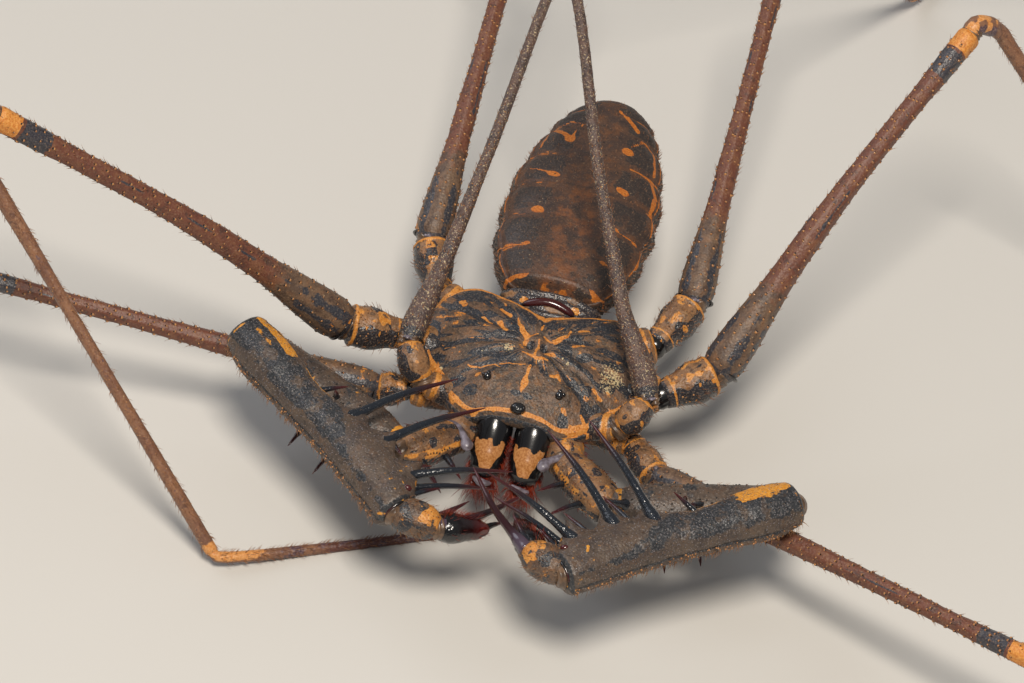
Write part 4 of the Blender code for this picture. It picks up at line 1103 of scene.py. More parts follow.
def abdomenHalf(along):
    plates = abdomen["plates"]
    for low, high in zip(plates, plates[1:]):
        if along <= high[0]:
            part = min(max((along - low[0]) / (high[0] - low[0]), 0), 1)
            return low[1] + (high[1] - low[1]) * (math.sqrt(part) if low[0] < 6 else part)
    return plates[-1][1]


def paintAbdomen(x, y, z, edge, part, over):
    if not over:
        return 0.0, 0.0, 0.0, 0.3 + 0.3 * rough((x, y, z), 1.6), 0.0, 0.0
    wx = x + 0.1 * rough((x, y, 0), 0.8, 3.0)
    wy = y + 0.08 * rough((x, y, 0), 0.8, 7.0)
    orange = paintStrokes(wx, wy, abdomen["lines"])
    for patch in abdomen["ovals"]:
        orange = max(orange, 0.92 * patch[4] * smoothStep(1.55, 0.6, inPatch(wx, wy, patch)))
    along = smoothStep(0.02, 0.15, part) * smoothStep(1.0, 0.9, part)
    strong = (0.72 if x > 0 else 0.62) + 0.3 * rough((x, y, 4), 1.6)
    if 6.6 < y < 23.2:
        orange = max(orange, strong * along * hump(edge, 0.925, 0.016))
    rimLine = hump(part, 0.965, 0.022) * smoothStep(0.25, 0.6, edge) * smoothStep(0.95, 0.9, edge)
    orange = max(orange, (0.64 + 0.35 * rough((x, y, 2), 1.2)) * rimLine)
    middle = smoothStep(2.4, 0.9, abs(x - 0.15 + 0.4 * rough((x, y, 1), 1.3)))
    tint = middle * (0.75 + 0.3 * rough((x, y, 6), 0.9)) * smoothStep(24, 12, y)
    field = smoothStep(0.2, 0.42, edge) * smoothStep(0.9, 0.78, edge)
    field = field * smoothStep(0.0, 0.25, part) * smoothStep(1.0, 0.75, part)
    dark = (
        0.62 * field + 0.28 * rough((x, y, 8), 1.5)
        + 0.25 * hump(part, 0.0, 0.04) * smoothStep(0.1, 0.3, edge) + 0.3 * smoothStep(21, 24, y)
    )
    if edge > 0.945:
        dark = 1.0
    dark = max(dark, 0.95 * smoothStep(0.5, 0.2, math.hypot(abs(x) - 1.6, (y - 6.0) * 1.4)))
    dark *= 1 - 0.6 * tint
    return 0.0, 0.0, orange, dark, 0.14, 0.62 * tint


def makeAbdomen():
    plates = abdomen["plates"]
    bounds = [bound for bound, _ in plates[1:9]]
    first, end = plates[0][0] - 0.12, plates[-1][0] + 0.12
    places = []
    along = first
    while along < end:
        if min(abs(along - bound) for bound in bounds) > 0.09:
            places.append(along)
        along += abdomen["spacing"] if along < 25.3 else 0.06
    for bound in bounds:
        places += [bound - 0.07, bound - 0.02, bound + 0.02, bound + 0.07]
    places.sort()
    form = bmesh.new()
    layers = paintLayers(form)
    sides = abdomen["sides"]
    rows = extrudeRings(
        form, [ringMatrix(Vector((0, y, bodyHeight)), Vector((0, 1, 0)), 2, 2) for y in places], sides
    )
    for y, row in zip(places, rows):
        half = abdomenHalf(y)
        flat = min(1.0, 0.45 + half / 6) * (half / 5.3) ** 0.35
        after = [bound for bound in bounds if bound > y] or [end]
        before = [bound for bound in bounds if bound <= y] or [first]
        part = (y - before[-1]) / (after[0] - before[-1])      # 0 at a plate's front edge, 1 at its rear
        rise = abdomen["step"] * part ** 1.4 if after[0] < end else 0.0
        scallop = (
            0.34 * math.sin(math.pi * min(part * 1.1, 1.0)) ** 0.7 - 0.28
        ) * smoothStep(6.2, 7.5, y) * smoothStep(25.4, 24.0, y)
        taper = math.sqrt(
            max(0.02, 1 - max(0, (y - 25.2) / (end - 25.2)) ** 2)
        ) * math.sqrt(max(0.05, min(1, (y - 5.6) / 0.5)))
        for vertex in row:
            turn = math.atan2(vertex.co.x, -(vertex.co.z - bodyHeight))      # 0 below, pi above
            across, high = math.sin(turn), -math.cos(turn)
            over = high > 0
            edge = abs(across)
            level = (abdomen["top"] if over else abdomen["belly"]) * flat
            # the side sinks in under the plates' rims
            fold = hump(high, 0.12, 0.14) + hump(high, -0.3, 0.2)
            x = math.copysign((half + scallop + rise * 0.4) * edge ** 0.9 - 0.16 * fold * edge, across)
            z = high * (level + (rise if over else rise * 0.4))
            lumps = 0.05 * rough((x, y * 1.4, z), 0.9) + 0.014 * rough((x, y, z), 0.25)
            if over:
                z += (
                    0.07 * math.sin(math.pi * part) * smoothStep(0.95, 0.6, edge)
                    + 0.07 * hump(edge, 0.925, 0.02) - 0.06 * hump(edge, 0.88, 0.03)
                )
                for patch in abdomen["ovals"]:
                    lumps -= 0.05 * math.exp(-inPatch(x, y, patch) ** 2)
                # where muscles hold the plate
                lumps -= 0.06 * hump(abs(x), 1.25, 0.35) * hump(part, 0.35, 0.15)
            if edge > 0.95:
                lumps += 0.09 * max(0.0, rough((x, y, z), 0.2)) + 0.05 * rough((x, y * 2, z), 0.35)
            scale = 1 + lumps / max(half, 1.5)
            vertex.co = Vector((
                x * scale * taper + abdomen["lean"] * (y - 5.9) / 20, y + 0.5 * high * (1 - half / 5.3),
                bodyHeight + z * scale * taper + 0.02 * (y - 6),
            ))
            values = paintAbdomen(vertex.co.x, y, z, edge, part, high > 0.05)
            for layer, value in zip(layers, values):
                vertex[layer] = value
            if abs(high) <= 0.2:
                vertex[layers[3]] = 1.0
    cell = nextCell()
    for _ in range(2600):      # fine hairs and granules, denser along the side folds
        level = draw.randrange(2, len(rows) - 3)
        folded = draw.random() < 0.6
        turn = draw.choice((0.25, 0.75)) + draw.uniform(-0.06, 0.06) if folded else draw.uniform(0.27, 0.73)
        spot, out, lie = surfaceAt(rows, level / (len(rows) - 1), turn)
        uv = cellPlace(cell, turn, level / len(rows))
        if folded and draw.random() < 0.5:
            addKnob(
                "grey" if draw.random() < 0.3 else "black", spot, out, draw.uniform(0.04, 0.08), 0.05, uv
            )
        elif folded or draw.random() < 0.35:
            addHair(
                "brown", spot, out * 0.7 + lie * 0.8, draw.uniform(0.15, 0.35) * (1.3 if folded else 0.6),
                0.035, uv, lie * 0.2
            )
        else:
            addKnob(
                "grey" if draw.random() < 0.4 else "black", spot, out, draw.uniform(0.02, 0.035), 0.02, uv
            )
    finishPiece(form, "abdomen_skin", abdomenSkin, ("abdomen",))


makeAbdomen()
print("abdomen made")


# Waist: brown folds between carapace and abdomen, under a glossy arched band

waist = {
    "start": (0, 3.7, 7.6), "end": (0, 6.45, 7.8),
    "profile": ((0, 3.2, 1.5), (0.3, 5.4, 1.7), (1, 7.0, 2.6)),
    "band": ((-2.1, 4.9, 7.9), (-1.3, 5.15, 8.5), (0, 5.3, 8.8), (1.3, 5.15, 8.5), (2.1, 4.9, 7.9)),
    "bandProfile": ((0, 0.3), (0.25, 0.56, 0.6), (0.75, 0.56, 0.6), (1, 0.3)),
}


def waistMarks(share, turn, spot):
    triangle = smoothStep(0.45, 0.2, abs(abs(spot.x) - 1.75) + abs(spot.y - 5.3))
    folds = 0.45 * hump(spot.y, 5.75, 0.12) * smoothStep(0.5, 1.0, abs(spot.x))
    return max(triangle, folds * (0.6 + 0.5 * rough(spot, 0.4))), 0.66 + 0.5 * rough(spot, 0.6), 0.0, 0.2


def makeWaist():
    form = bmesh.new()
    growLimb(
        form, (waist["start"], waist["end"]), waist["profile"], sides=72, spacing=0.06, ends=(0.3, 0.3),
        marks=waistMarks,
        relief=lambda share, turn, spot: 0.05 * math.sin(spot.y * 14 + 2 * rough(spot, 0.8))
            + 0.05 * rough(spot, 0.35)
    )
    finishPiece(form, "waist", jointSkin, ("pedicel",))
    form = bmesh.new()
    growLimb(
        form, waist["band"], waist["bandProfile"], sides=24, spacing=0.08, ends=(0.15, 0.15),
        upward=Vector((0, 1, 0))
    )
    along = paintLayers(form)[0]
    for vertex in form.verts:
        vertex[along] = 0.35 + 0.5 * smoothStep(8.2, 8.7, vertex.co.z)
    finishPiece(form, "waist_band", condyleSkin, ())


makeWaist()


# Sternum and the coxae of whips and legs

coxae = {
    "whip": ((-1.6, -2.6, 5.9), (-6.4, -2.9, 7.2), 2.0),
    "leg_2": ((-1.4, -1.2, 5.6), (-7.4, -2.5, 5.9), 2.3),
    "leg_3": ((-1.3, 0.7, 5.6), (-8.6, 0.9, 7.3), 2.7),
    "leg_4": ((-1.3, 2.4, 5.7), (-7.3, 5.4, 7.2), 2.8),
}


def sided(point, side):
    return Vector(point) if side == "right" else Vector((-point[0], point[1], point[2]))


def coxaMarks(share, turn, spot):
    band = smoothStep(0.79, 0.84, share) * smoothStep(0.93, 0.88, share)
    patch = smoothStep(-0.05, 0.3, rough(spot, 1.1, 2.0)) * smoothStep(0.4, 0.6, share)
    rim = hump(share, 0.965, 0.02)
    return 0.85 * band + 0.8 * rim, 0.95 * patch * (1 - band), 0.12, 0.0


def makeCoxae():
    form = bmesh.new()
    cell = nextCell()
    for name, (inner, outer, thick) in coxae.items():
        profile = (
            (0.0, thick * 0.7, thick * 0.6), (0.6, thick, thick * 0.9),
            (0.9, thick * 0.97, thick * 0.92), (1.0, thick * 0.95, thick * 0.9),
        )
        for side in ("right", "left"):
            rows = growLimb(
                form, (sided(inner, side), sided(outer, side)), profile, sides=44, spacing=0.11,
                ends=(0.5, 0.6), marks=coxaMarks,
                relief=lambda share, turn, spot: 0.06 * rough(spot, 0.8) - 0.10 * hump(share, 0.83, 0.012)
                    + 0.08 * hump(share, 0.965, 0.02)
            )
            bristleLimb(rows, cell, "brown", 70, 0.4, 0.04, 0.5, (0, 1), (0.4, 0.98))
            scatterKnobs(rows, cell, "grey", 50, (0.03, 0.06), (0.2, 0.8), (0.4, 0.97))
    growLimb(
        form, ((0, -3.2, 5.7), (0, 4.4, 6.0)), ((0, 2.4, 1.6), (0.5, 4.4, 2.6), (1, 2.6, 2.2)), sides=44,
        spacing=0.15, ends=(0.8, 0.8), marks=coxaMarks, relief=lumps((0.06, 0.7))
    )
    finishPiece(form, "sternum_and_hips", jointSkin, ("sternum_and_coxae",))


makeCoxae()
print("waist, sternum and hips made")


# Walking legs

walking = {
    "leg_2_right": ((-9.3, -2.7, 5.5), 188.7, 12, 211, 208, 0.1),
    "leg_2_left": ((9.4, -4.8, 5.5), -24.5, 8, -44, -42, 0.1),
    "leg_3_right": ((-12.4, -0.2, 8.0), 194.9, 35.6, -28.7, 27.2, 0.9),
    "leg_3_left": ((11.6, 3.1, 8.0), 60.9, 35.4, 6, -8, 1.5),
    "leg_4_right": ((-8.9, 9.2, 8.0), 89.3, 28, 125, 122, 0.3),
    "leg_4_left": ((9.0, 9.0, 8.0), 89.2, 28, 68, 66, 0.3),
}
# lengths of femur, tibia and foot; thicknesses of trochanter, femur base, knee, tibia end and toe
legSizes = {
    "leg_2": (28.0, 28.4, 15.5, 2.0, 2.2, 1.3, 0.8, 0.62),
    "leg_3": (28.0, 30.9, 17.0, 2.6, 2.75, 1.6, 0.86, 0.66),
    "leg_4": (26.0, 31.5, 15.5, 2.4, 2.5, 1.5, 0.84, 0.66),
}
femurTaper = ((0.0, 0.76), (0.05, 1.0), (0.32, 0.62), (0.6, 0.49), (0.78, 0.475), (0.93, 0.555), (
    1.0, 0.59,
))
ankleHeight = 1.1
sole = 0.22
patellaLength = 2.3


def trochanterMarks(share, turn, spot):
    upper = 0.5 - abs(turn - 0.5)      # 0.5 above, 0 below
    wander = 0.05 * rough(spot, 0.7, 5.0)
    lower = max(smoothStep(0.41, 0.35, upper + wander), smoothStep(0.16, 0.08, share))
    patch = smoothStep(0.22, 0.34, rough(spot, 1.0, 5.0)) * smoothStep(0.2, 0.4, share)
    band = hump(share, 0.86, 0.03)
    streak = 0.7 * smoothStep(0.3, 0.5, rough((spot.x * 2, spot.y * 2, spot.z), 0.7)) * lower
    orange = max(
        0.58 * smoothStep(-0.1, 0.35, rough(spot, 0.7)) * smoothStep(0.34, 0.44, upper), 0.9 * band,
        0.85 * hump(share, 0.2, 0.02), streak
    )
    return orange, max(0.9 * patch, lower) * (1 - 0.9 * band), 0.1, 0.0


def legFemurMarks(share, turn, spot):
    upper = 0.5 - abs(turn - 0.5)
    patch = smoothStep(0.935, 0.945, share) * smoothStep(0.998, 0.99, share) * smoothStep(0.12, 0.22, upper)
    darkBand = smoothStep(0.85, 0.875, share) * smoothStep(0.94, 0.925, share)
    streaks = hump(abs(turn - 0.5), 0.11, 0.055) + hump(abs(turn - 0.5), 0.25, 0.05)
    slate = streaks * smoothStep(
        0.27, 0.12, share + 0.03 * rough(spot, 0.8)
    ) * (0.78 + 0.5 * rough(spot, 0.9, 4.0))
    long = 0.7 * hump(abs(turn - 0.5), 0.13, 0.03) * smoothStep(
        0.1, 0.3, rough((spot.x * 0.4, spot.y * 0.4, spot.z * 0.4), 0.9)
    )
    root = hump(share, 0.015, 0.012)
    tan = 0.5 * smoothStep(0.12, 0.04, share) * smoothStep(0.0, 0.4, rough(spot, 0.6))
    return (
        max(patch, tan), max(darkBand, slate, long, root, smoothStep(0.988, 0.995, share)),
        0.16 * smoothStep(0.4, 0.1, share), smoothStep(0.06, 0.42, share)
    )


def legTibiaMarks(share, turn, spot):
    knee = smoothStep(0.085, 0.06, share)
    upper = 0.5 - abs(turn - 0.5)
    return (
        0.85 * knee * smoothStep(0.0, 0.4, rough(spot, 0.6) + 0.2) + 0.7 * smoothStep(0.965, 0.98, share),
        0.8 * knee * smoothStep(0.4, 0.2, upper) + 0.3, 0.15, 0.0
    )


def footMarks(share, turn, spot):
    upper = 0.5 - abs(turn - 0.5)
    base = smoothStep(0.30, 0.12, share) * smoothStep(0.15, 0.35, upper)
    return 0.85 * base, 0.45 * smoothStep(0.1, 0.3, share), 0.1, smoothStep(0.25, 0.6, share)


def makeLeg(name):
    kind, side = name.rsplit("_", 1)
    start, azimuth, rise, tibiaAzimuth, footAzimuth, arch = walking[name]
    femurLength, tibiaLength, footLength, base, thigh, kneeSize, ankleSize, toeSize = legSizes[kind]
    start = Vector(start)
    outward = bearing(azimuth, rise)
    knee = start + outward * femurLength
    coxaEnd = sided(coxae[kind][1], side)
    reachOut = (start - coxaEnd).normalized()

    form = bmesh.new()
    rows = growLimb(
        form, (coxaEnd - reachOut * 0.3, start.lerp(coxaEnd, 0.45), start + outward * 0.2),
        (
            (0.0, base * 0.7), (0.25, base * 0.82), (0.6, base * 1.1), (0.84, base * 1.02, base * 1.04),
            (1.0, base * 0.8),
        ),
        sides=56, spacing=0.08, ends=(0.4, 0.5), marks=trochanterMarks,
        relief=lambda share, turn, spot: 0.06 * rough(spot, 0.9) + 0.03 * rough(spot, 0.3)
            + 0.07 * hump(share, 0.86, 0.025) - 0.1 * hump(share, 0.92, 0.02)
    )
    cell = nextCell()
    bristleLimb(rows, cell, "brown", 90, 0.4, 0.04, 0.6, (0, 1), (0.2, 0.97))
    scatterKnobs(rows, cell, "horn", 26, (0.05, 0.08), (0.2, 0.8), (0.2, 0.85))
    scatterKnobs(rows, cell, "black", 40, (0.025, 0.045), (0.15, 0.85), (0.2, 0.9))
    finishPiece(form, name + "_trochanter_skin", jointSkin, (name + "_trochanter",))
    collar(pieces["knobs"], coxaEnd, reachOut, base * 0.37, 1.3, 1)
    collar(pieces["membranes"], start, outward, base * 0.38, 1.0)
    hinge(start + outward * 0.1, outward, base, pieces)

    form = bmesh.new()
    rows = growLimb(form, (start - outward * 0.3, start.lerp(knee, 0.45) + up * arch, knee + outward * 0.1),
                    [(share, thigh * size * 0.97, thigh * size * 1.03) for share, size in femurTaper],
                    sides=32, spacing=0.22, ends=(0.5, 0.5), marks=legFemurMarks,
                    relief=lambda share, turn, spot: 0.03 * rough(spot, 0.8) + 0.012 * rough(spot, 0.25)
                    + 0.025 * math.cos(turn * 12 * math.pi) * smoothStep(0.05, 0.15, share))
    cell = nextCell()
    tubercleRows(
        rows, cell, (0.06, 0.16, 0.25, 0.34, 0.42, 0.5, 0.58, 0.66, 0.75, 0.84, 0.94), 0.9, 0.092,
        (0.05, 0.94)
    )
    bristleLimb(rows, cell, "brown", 200, 0.26, 0.035, 1.0)
    finishPiece(form, name + "_femur_skin", legSkin, (name + "_femur",))

    drop = knee.z - ankleHeight
    ankle = knee + bearing(tibiaAzimuth) * math.sqrt(tibiaLength ** 2 - drop ** 2)
    ankle.z = ankleHeight
    downward = (ankle - knee).normalized()
    turnWay = (outward + downward - up * 0.6).normalized()
    bend = knee + outward * 0.7
    patellaEnd = bend + turnWay * patellaLength
    settle = patellaEnd + (ankle - patellaEnd).normalized() * 3.5
    form = bmesh.new()
    rows = growLimb(
        form, (knee - outward * 0.2, bend, patellaEnd, settle, ankle + downward * 0.1),
        (
            (0.0, kneeSize * 0.8), (0.07, kneeSize * 0.82), (0.085, kneeSize * 0.66, kneeSize * 0.68),
            (0.16, kneeSize * 0.62, kneeSize * 0.66), (0.5, ankleSize * 0.86, ankleSize * 0.9),
            (1.0, ankleSize),
        ),
        sides=22, spacing=0.26, ends=(0.3, 0.35), marks=legTibiaMarks, relief=lumps((0.02, 0.5))
    )
    cell = nextCell()
    bristleLimb(rows, cell, "brown", 560, 0.34, 0.038, 0.9, (0, 1), (0.1, 0.99))
    scatterKnobs(rows, cell, "horn", 160, (0.035, 0.055), (0, 1), (0.1, 0.97))
    finishPiece(form, name + "_tibia_skin", tibiaSkin, (name + "_tibia",))
    collar(pieces["membranes"], knee + outward * 0.1, outward, kneeSize * 0.42, 0.9)

    forward = bearing(footAzimuth)
    toe = ankle + forward * footLength
    toe.z = sole
    middle = ankle.lerp(toe, 0.45)
    middle.z = sole
    heel = ankle + downward * 0.5 + forward * 0.7
    heel.z = ankleHeight - 0.3
    form = bmesh.new()
    rows = growLimb(form, (ankle - downward * 0.2, heel, middle, toe), (
        (0.0, ankleSize * 0.85), (0.3, ankleSize * 0.85),
        (0.6, toeSize), (1.0, toeSize * 0.8, toeSize * 0.9, 0, 0.02),
    ), sides=20, spacing=0.22, ends=(0.3, 0.3), marks=footMarks, floor=True,
        relief=lambda share, turn, spot: 0.015 * rough(spot, 0.5) - 0.05 * hump(share, 0.62, 0.008))
    for turned in (-28, 28):      # the pair of claws
        tip = toe + bearing(footAzimuth + turned) * 1.0
        tip.z = 0.16
        growLimb(
            form, (toe - forward * 0.4, (toe + tip) / 2 + up * 0.16, tip),
            ((0, 0.3), (0.6, 0.18), (1, 0.05)), sides=10, spacing=0.12, ends=(0.1, 0.05),
            marks=lambda share, turn, spot: (0.0, 1.0, 0.0, 1.0)
        )
    cell = nextCell()
    bristleLimb(rows, cell, "brown", 480, 0.36, 0.038, 0.8, (0.12, 0.88), (0.08, 0.99))
    finishPiece(form, name + "_foot_skin", tibiaSkin, (name + "_foot",))


for legName in walking:
    makeLeg(legName)
    print(legName, "made")


# Whips: the first pair of legs, long thin feelers with many short joints

whips = {
    "whip_right": ((-8.0, -1.3, 8.8), 83.3, 24, (
        (-20, 40, 27), (-45, 47, 26), (-75, 46, 19), (-100, 34, 11), (-116, 14, 5), (-121, -8, 2),
    )),
    "whip_left": ((7.9, -1.6, 8.8), 117.3, 31, (
        (8, 37, 30.5), (34, 48, 29), (64, 51, 22), (91, 43, 14), (110, 27, 7), (119, 5, 2.2),
    )),
}
whipFemur = 36.0
whipSizes = (1.75, 0.76, 0.68, 0.4)
whipBow = {"right": 0.26, "left": -0.6}      # how far the femur bends to the right-hand side of its way
whipJointLength = 1.4      # one short joint of the tibia or tarsus


def whipMarks(share, turn, spot):
    return 0.0, max(smoothStep(0.045, 0.02, share), 0.4 * smoothStep(0.1, 0.4, rough(spot, 1.4))), 0.3, 0.0


def whipTailMarks(share, turn, spot):
    return 0.0, 0.45 * smoothStep(0.1, 0.4, rough(spot, 1.4)), 0.2, 0.0


def makeWhip(name):
    side = name.rsplit("_", 1)[1]
    start, azimuth, rise, route = whips[name]
    start = Vector(start)
    outward = bearing(azimuth, rise)
    knee = start + outward * whipFemur
    base, kneeSize, tibiaSize, tipSize = whipSizes
    bow = whipBow[side]
    coxaEnd = sided(coxae["whip"][1], side)
    form = bmesh.new()
    rows = growLimb(
        form, (coxaEnd, coxaEnd.lerp(start, 0.5) - Vector((0, 0.4, -0.1)), start + outward * 0.2),
        ((0, base * 0.8), (0.5, base * 1.2), (1, base * 0.9)), sides=44, spacing=0.08, ends=(0.4, 0.6),
        marks=trochanterMarks, relief=lumps((0.06, 0.7))
    )
    cell = nextCell()
    bristleLimb(rows, cell, "brown", 50, 0.35, 0.04, 0.6)
    scatterKnobs(rows, cell, "horn", 16, (0.045, 0.07), (0.2, 0.8))
    finishPiece(form, name + "_trochanter_skin", jointSkin, (name + "_trochanter",))
    collar(pieces["membranes"], coxaEnd, (start - coxaEnd).normalized(), base * 0.5, 0.9)
    hinge(start + outward * 0.05, outward, base * 1.05, pieces)
    form = bmesh.new()
    rows = growLimb(form, (start - outward * 0.3, knee + outward * 0.1), (
        (0.0, base * 0.75), (0.04, base * 0.97), (0.2, base * 0.56, base * 0.56, bow, 0),
        (0.4, base * 0.44, base * 0.44, bow, 0), (0.75, base * 0.41), (1.0, kneeSize),
    ), sides=26, spacing=0.2, ends=(0.4, 0.4), marks=whipMarks, relief=lumps((0.025, 0.35)))
    cell = nextCell()
    tubercleRows(rows, cell, (0.1, 0.25, 0.36, 0.45, 0.55, 0.64, 0.75, 0.9), 0.75, 0.05, (0.04, 0.5), (
        0.3, 0.25,
    ))
    scatterKnobs(rows, cell, "pearl", 1100, (0.02, 0.042), (0, 1), (0.04, 0.98))
    bristleLimb(rows, cell, "brown", 260, 0.32, 0.032, 0.8)
    finishPiece(form, name + "_femur_skin", whipSkin, (name + "_femur",))
    line = smoothLine([knee - outward * 0.2, knee + outward * 1.2] + [Vector(point) for point in route])
    total = lengthsAlong(line)
    cuts = (0.0, 0.22, 0.45, 0.73, 1.0)
    sizes = (kneeSize, tibiaSize, tibiaSize * 0.9, tibiaSize * 0.72, tipSize)
    for index, part in enumerate(("tibia_a", "tibia_b", "tarsus_a", "tarsus_b")):
        low, high = total[-1] * cuts[index] - (0.4 if index else 0), total[-1] * cuts[index + 1]
        points = [spotOn(line, total, low + (high - low) * step / 8)[0] for step in range(9)]
        joints = round((high - low) / whipJointLength)
        form = bmesh.new()
        rows = growLimb(
            form, points, ((0.0, sizes[index]), (1.0, sizes[index + 1])), sides=12, spacing=0.3,
            ends=(0.2, 0.2), marks=whipTailMarks,
            relief=lambda share, turn, spot: 0.01 * rough(spot, 0.4)
                - 0.04 * max(0.0, math.cos(2 * math.pi * share * joints)) ** 8
        )
        cell = nextCell()
        bristleLimb(rows, cell, "brown", 260, 0.34, 0.032, 0.9)
        finishPiece(form, name + "_" + part + "_skin", whipSkin, (name + "_" + part,))
    collar(pieces["membranes"], knee + outward * 0.1, outward, kneeSize * 0.45, 0.6, 2)


for whipName in whips:
    makeWhip(whipName)
print("whips made")


# Pedipalps

palps = {
    "pedipalp_right": {
        "coxa": ((-2.9, -2.9, 5.6), (-3.6, -5.9, 5.7)),
        "trochanter": ((-3.4, -5.6, 5.9), (-6.9, -8.5, 6.2)),
        "femur": ((-6.5, -8.2, 6.2), (-17.9, -2.9, 7.0)),
        "patella": ((-18.1, -4.8, 10.0), (-5.2, -15.9, 8.5)),
        "tibia": ((-5.6, -15.6, 8.5), (-2.4, -15.8, 8.1)),
        "tarsus": ((-2.8, -15.7, 7.9), (0.4, -14.1, 7.2)), "claw": ((0.0, -14.3, 7.3), (1.1, -13.3, 7.2)),
        "wing": ((-4.5, -5.4, 6.6), (-3.65, -5.5, 6.7), (-2.95, -6.25, 6.65), (-2.4, -7.2, 6.5)),
    },
    "pedipalp_left": {
        "coxa": ((2.9, -2.9, 5.6), (3.7, -5.9, 5.7)), "trochanter": ((3.5, -5.6, 5.9), (7.4, -9.2, 6.1)),
        "femur": ((7.0, -8.9, 6.1), (18.2, -5.8, 6.4)), "patella": ((18.5, -7.8, 9.3), (5.6, -18.6, 9.4)),
        "tibia": ((5.9, -18.3, 9.4), (3.0, -17.0, 9.3)), "tarsus": ((3.8, -17.0, 9.0), (2.0, -13.6, 8.0)),
        "claw": ((2.2, -14.0, 8.1), (1.6, -12.6, 7.8)),
        "wing": ((4.65, -5.6, 6.6), (3.85, -5.9, 6.7), (3.1, -6.3, 6.65), (2.5, -6.9, 6.6), (
            2.45, -7.5, 6.45,
        )),
    },
}
palpWidth = 3.5
patellaShape = (      # share, width, height, lean to the spined side
    (0.0, 3.0, 2.8, 0.0), (0.15, 3.4, 3.1, 0.0), (0.4, 2.75, 2.6, 0.0), (0.55, 2.95, 2.7, 0.3),
    (0.68, 3.6, 2.9, 0.65), (0.9, 3.5, 2.9, 0.55), (1.0, 2.8, 2.6, 0.1),
)
thornRoot = 1.3
thornBow = 0.06
thornRise = {"right": -3, "left": 8}
thorns = {      # share, height, length, tilt, rise, thickness
    "trochanter": ((0.35, -0.2, 2.2, 0, 6, 0.6), (0.70, -0.3, 2.6, 0, 2, 0.6)),
    "femur": ((0.10, 0.7, 1.9, -60, 24, 0.6), (0.14, 0.1, 1.7, -35, -6, 0.6),
        (0.52, 0.9, 0.9, -50, 24, 0.52), (0.30, -0.9, 2.6, 0, -14, 0.6),
              (0.50, -0.9, 2.0, 0, -14, 0.6)),
    "patella": ((0.39, 0.5, 1.6, 20, 6, 0.52), (0.57, 0.6, 8.0, 2, 0, 0.68), (0.72, 0.6, 7.5, 4, 0, 0.68),
        (0.87, 0.5, 6.6, 24, 0, 0.64),
                (0.88, -0.4, 5.8, 22, -6, 0.54), (0.95, 0.2, 1.7, 10, 0, 0.52),
                (0.60, -0.7, 4.0, 4, -14, 0.6), (0.76, -0.8, 3.3, 8, -14, 0.6)),
    "tibia": ((0.94, 0.05, 5.6, 3, 0, 0.66), (0.55, -0.15, 2.6, 3, 2, 0.58)),
}


def growThorn(form, root, tip, thick, bow):
    middle = (root + tip) / 2 + bow
    growLimb(
        form, (root, middle, tip),
        (
            (0.0, thick * 1.7), (0.11, thick * 1.4), (0.22, thick * 0.95), (0.32, thick * 0.8),
            (0.6, thick * 0.64), (0.85, thick * 0.36), (1.0, 0.06),
        ),
        sides=14, spacing=0.1, ends=(0.2, 0.08),
        relief=lambda share, turn, spot: 0.012 * rough(spot, 0.12) * (1.2 - share)
    )


def growThorns(form, name, carrier, halfWidth, longForm=None):
    side = name.rsplit("_", 1)[1]
    low, high = (Vector(end) for end in palps[name][carrier])
    first, last = (Vector(end) for end in palps[name]["patella" if carrier == "tibia" else carrier])
    along = last - first
    along.z = 0
    along.normalize()
    inner = Vector((-along.y, along.x, 0)) * (1 if side == "right" else -1)
    for index, (share, height, length, tilt, rise, thick) in enumerate(thorns[carrier]):
        across = inner * math.cos(math.radians(tilt)) + along * math.sin(math.radians(tilt))
        lean = math.radians(rise + thornRise[side])
        way = across * math.cos(lean) + up * math.sin(lean)
        root = low + (high - low) * share + inner * (halfWidth(share) - thornRoot) + up * height
        bow = (along if carrier == "tibia" else up) * thornBow * length
        growThorn(
            longForm if longForm and index == 0 else form, root, root + way * (length + thornRoot), thick,
            bow
        )


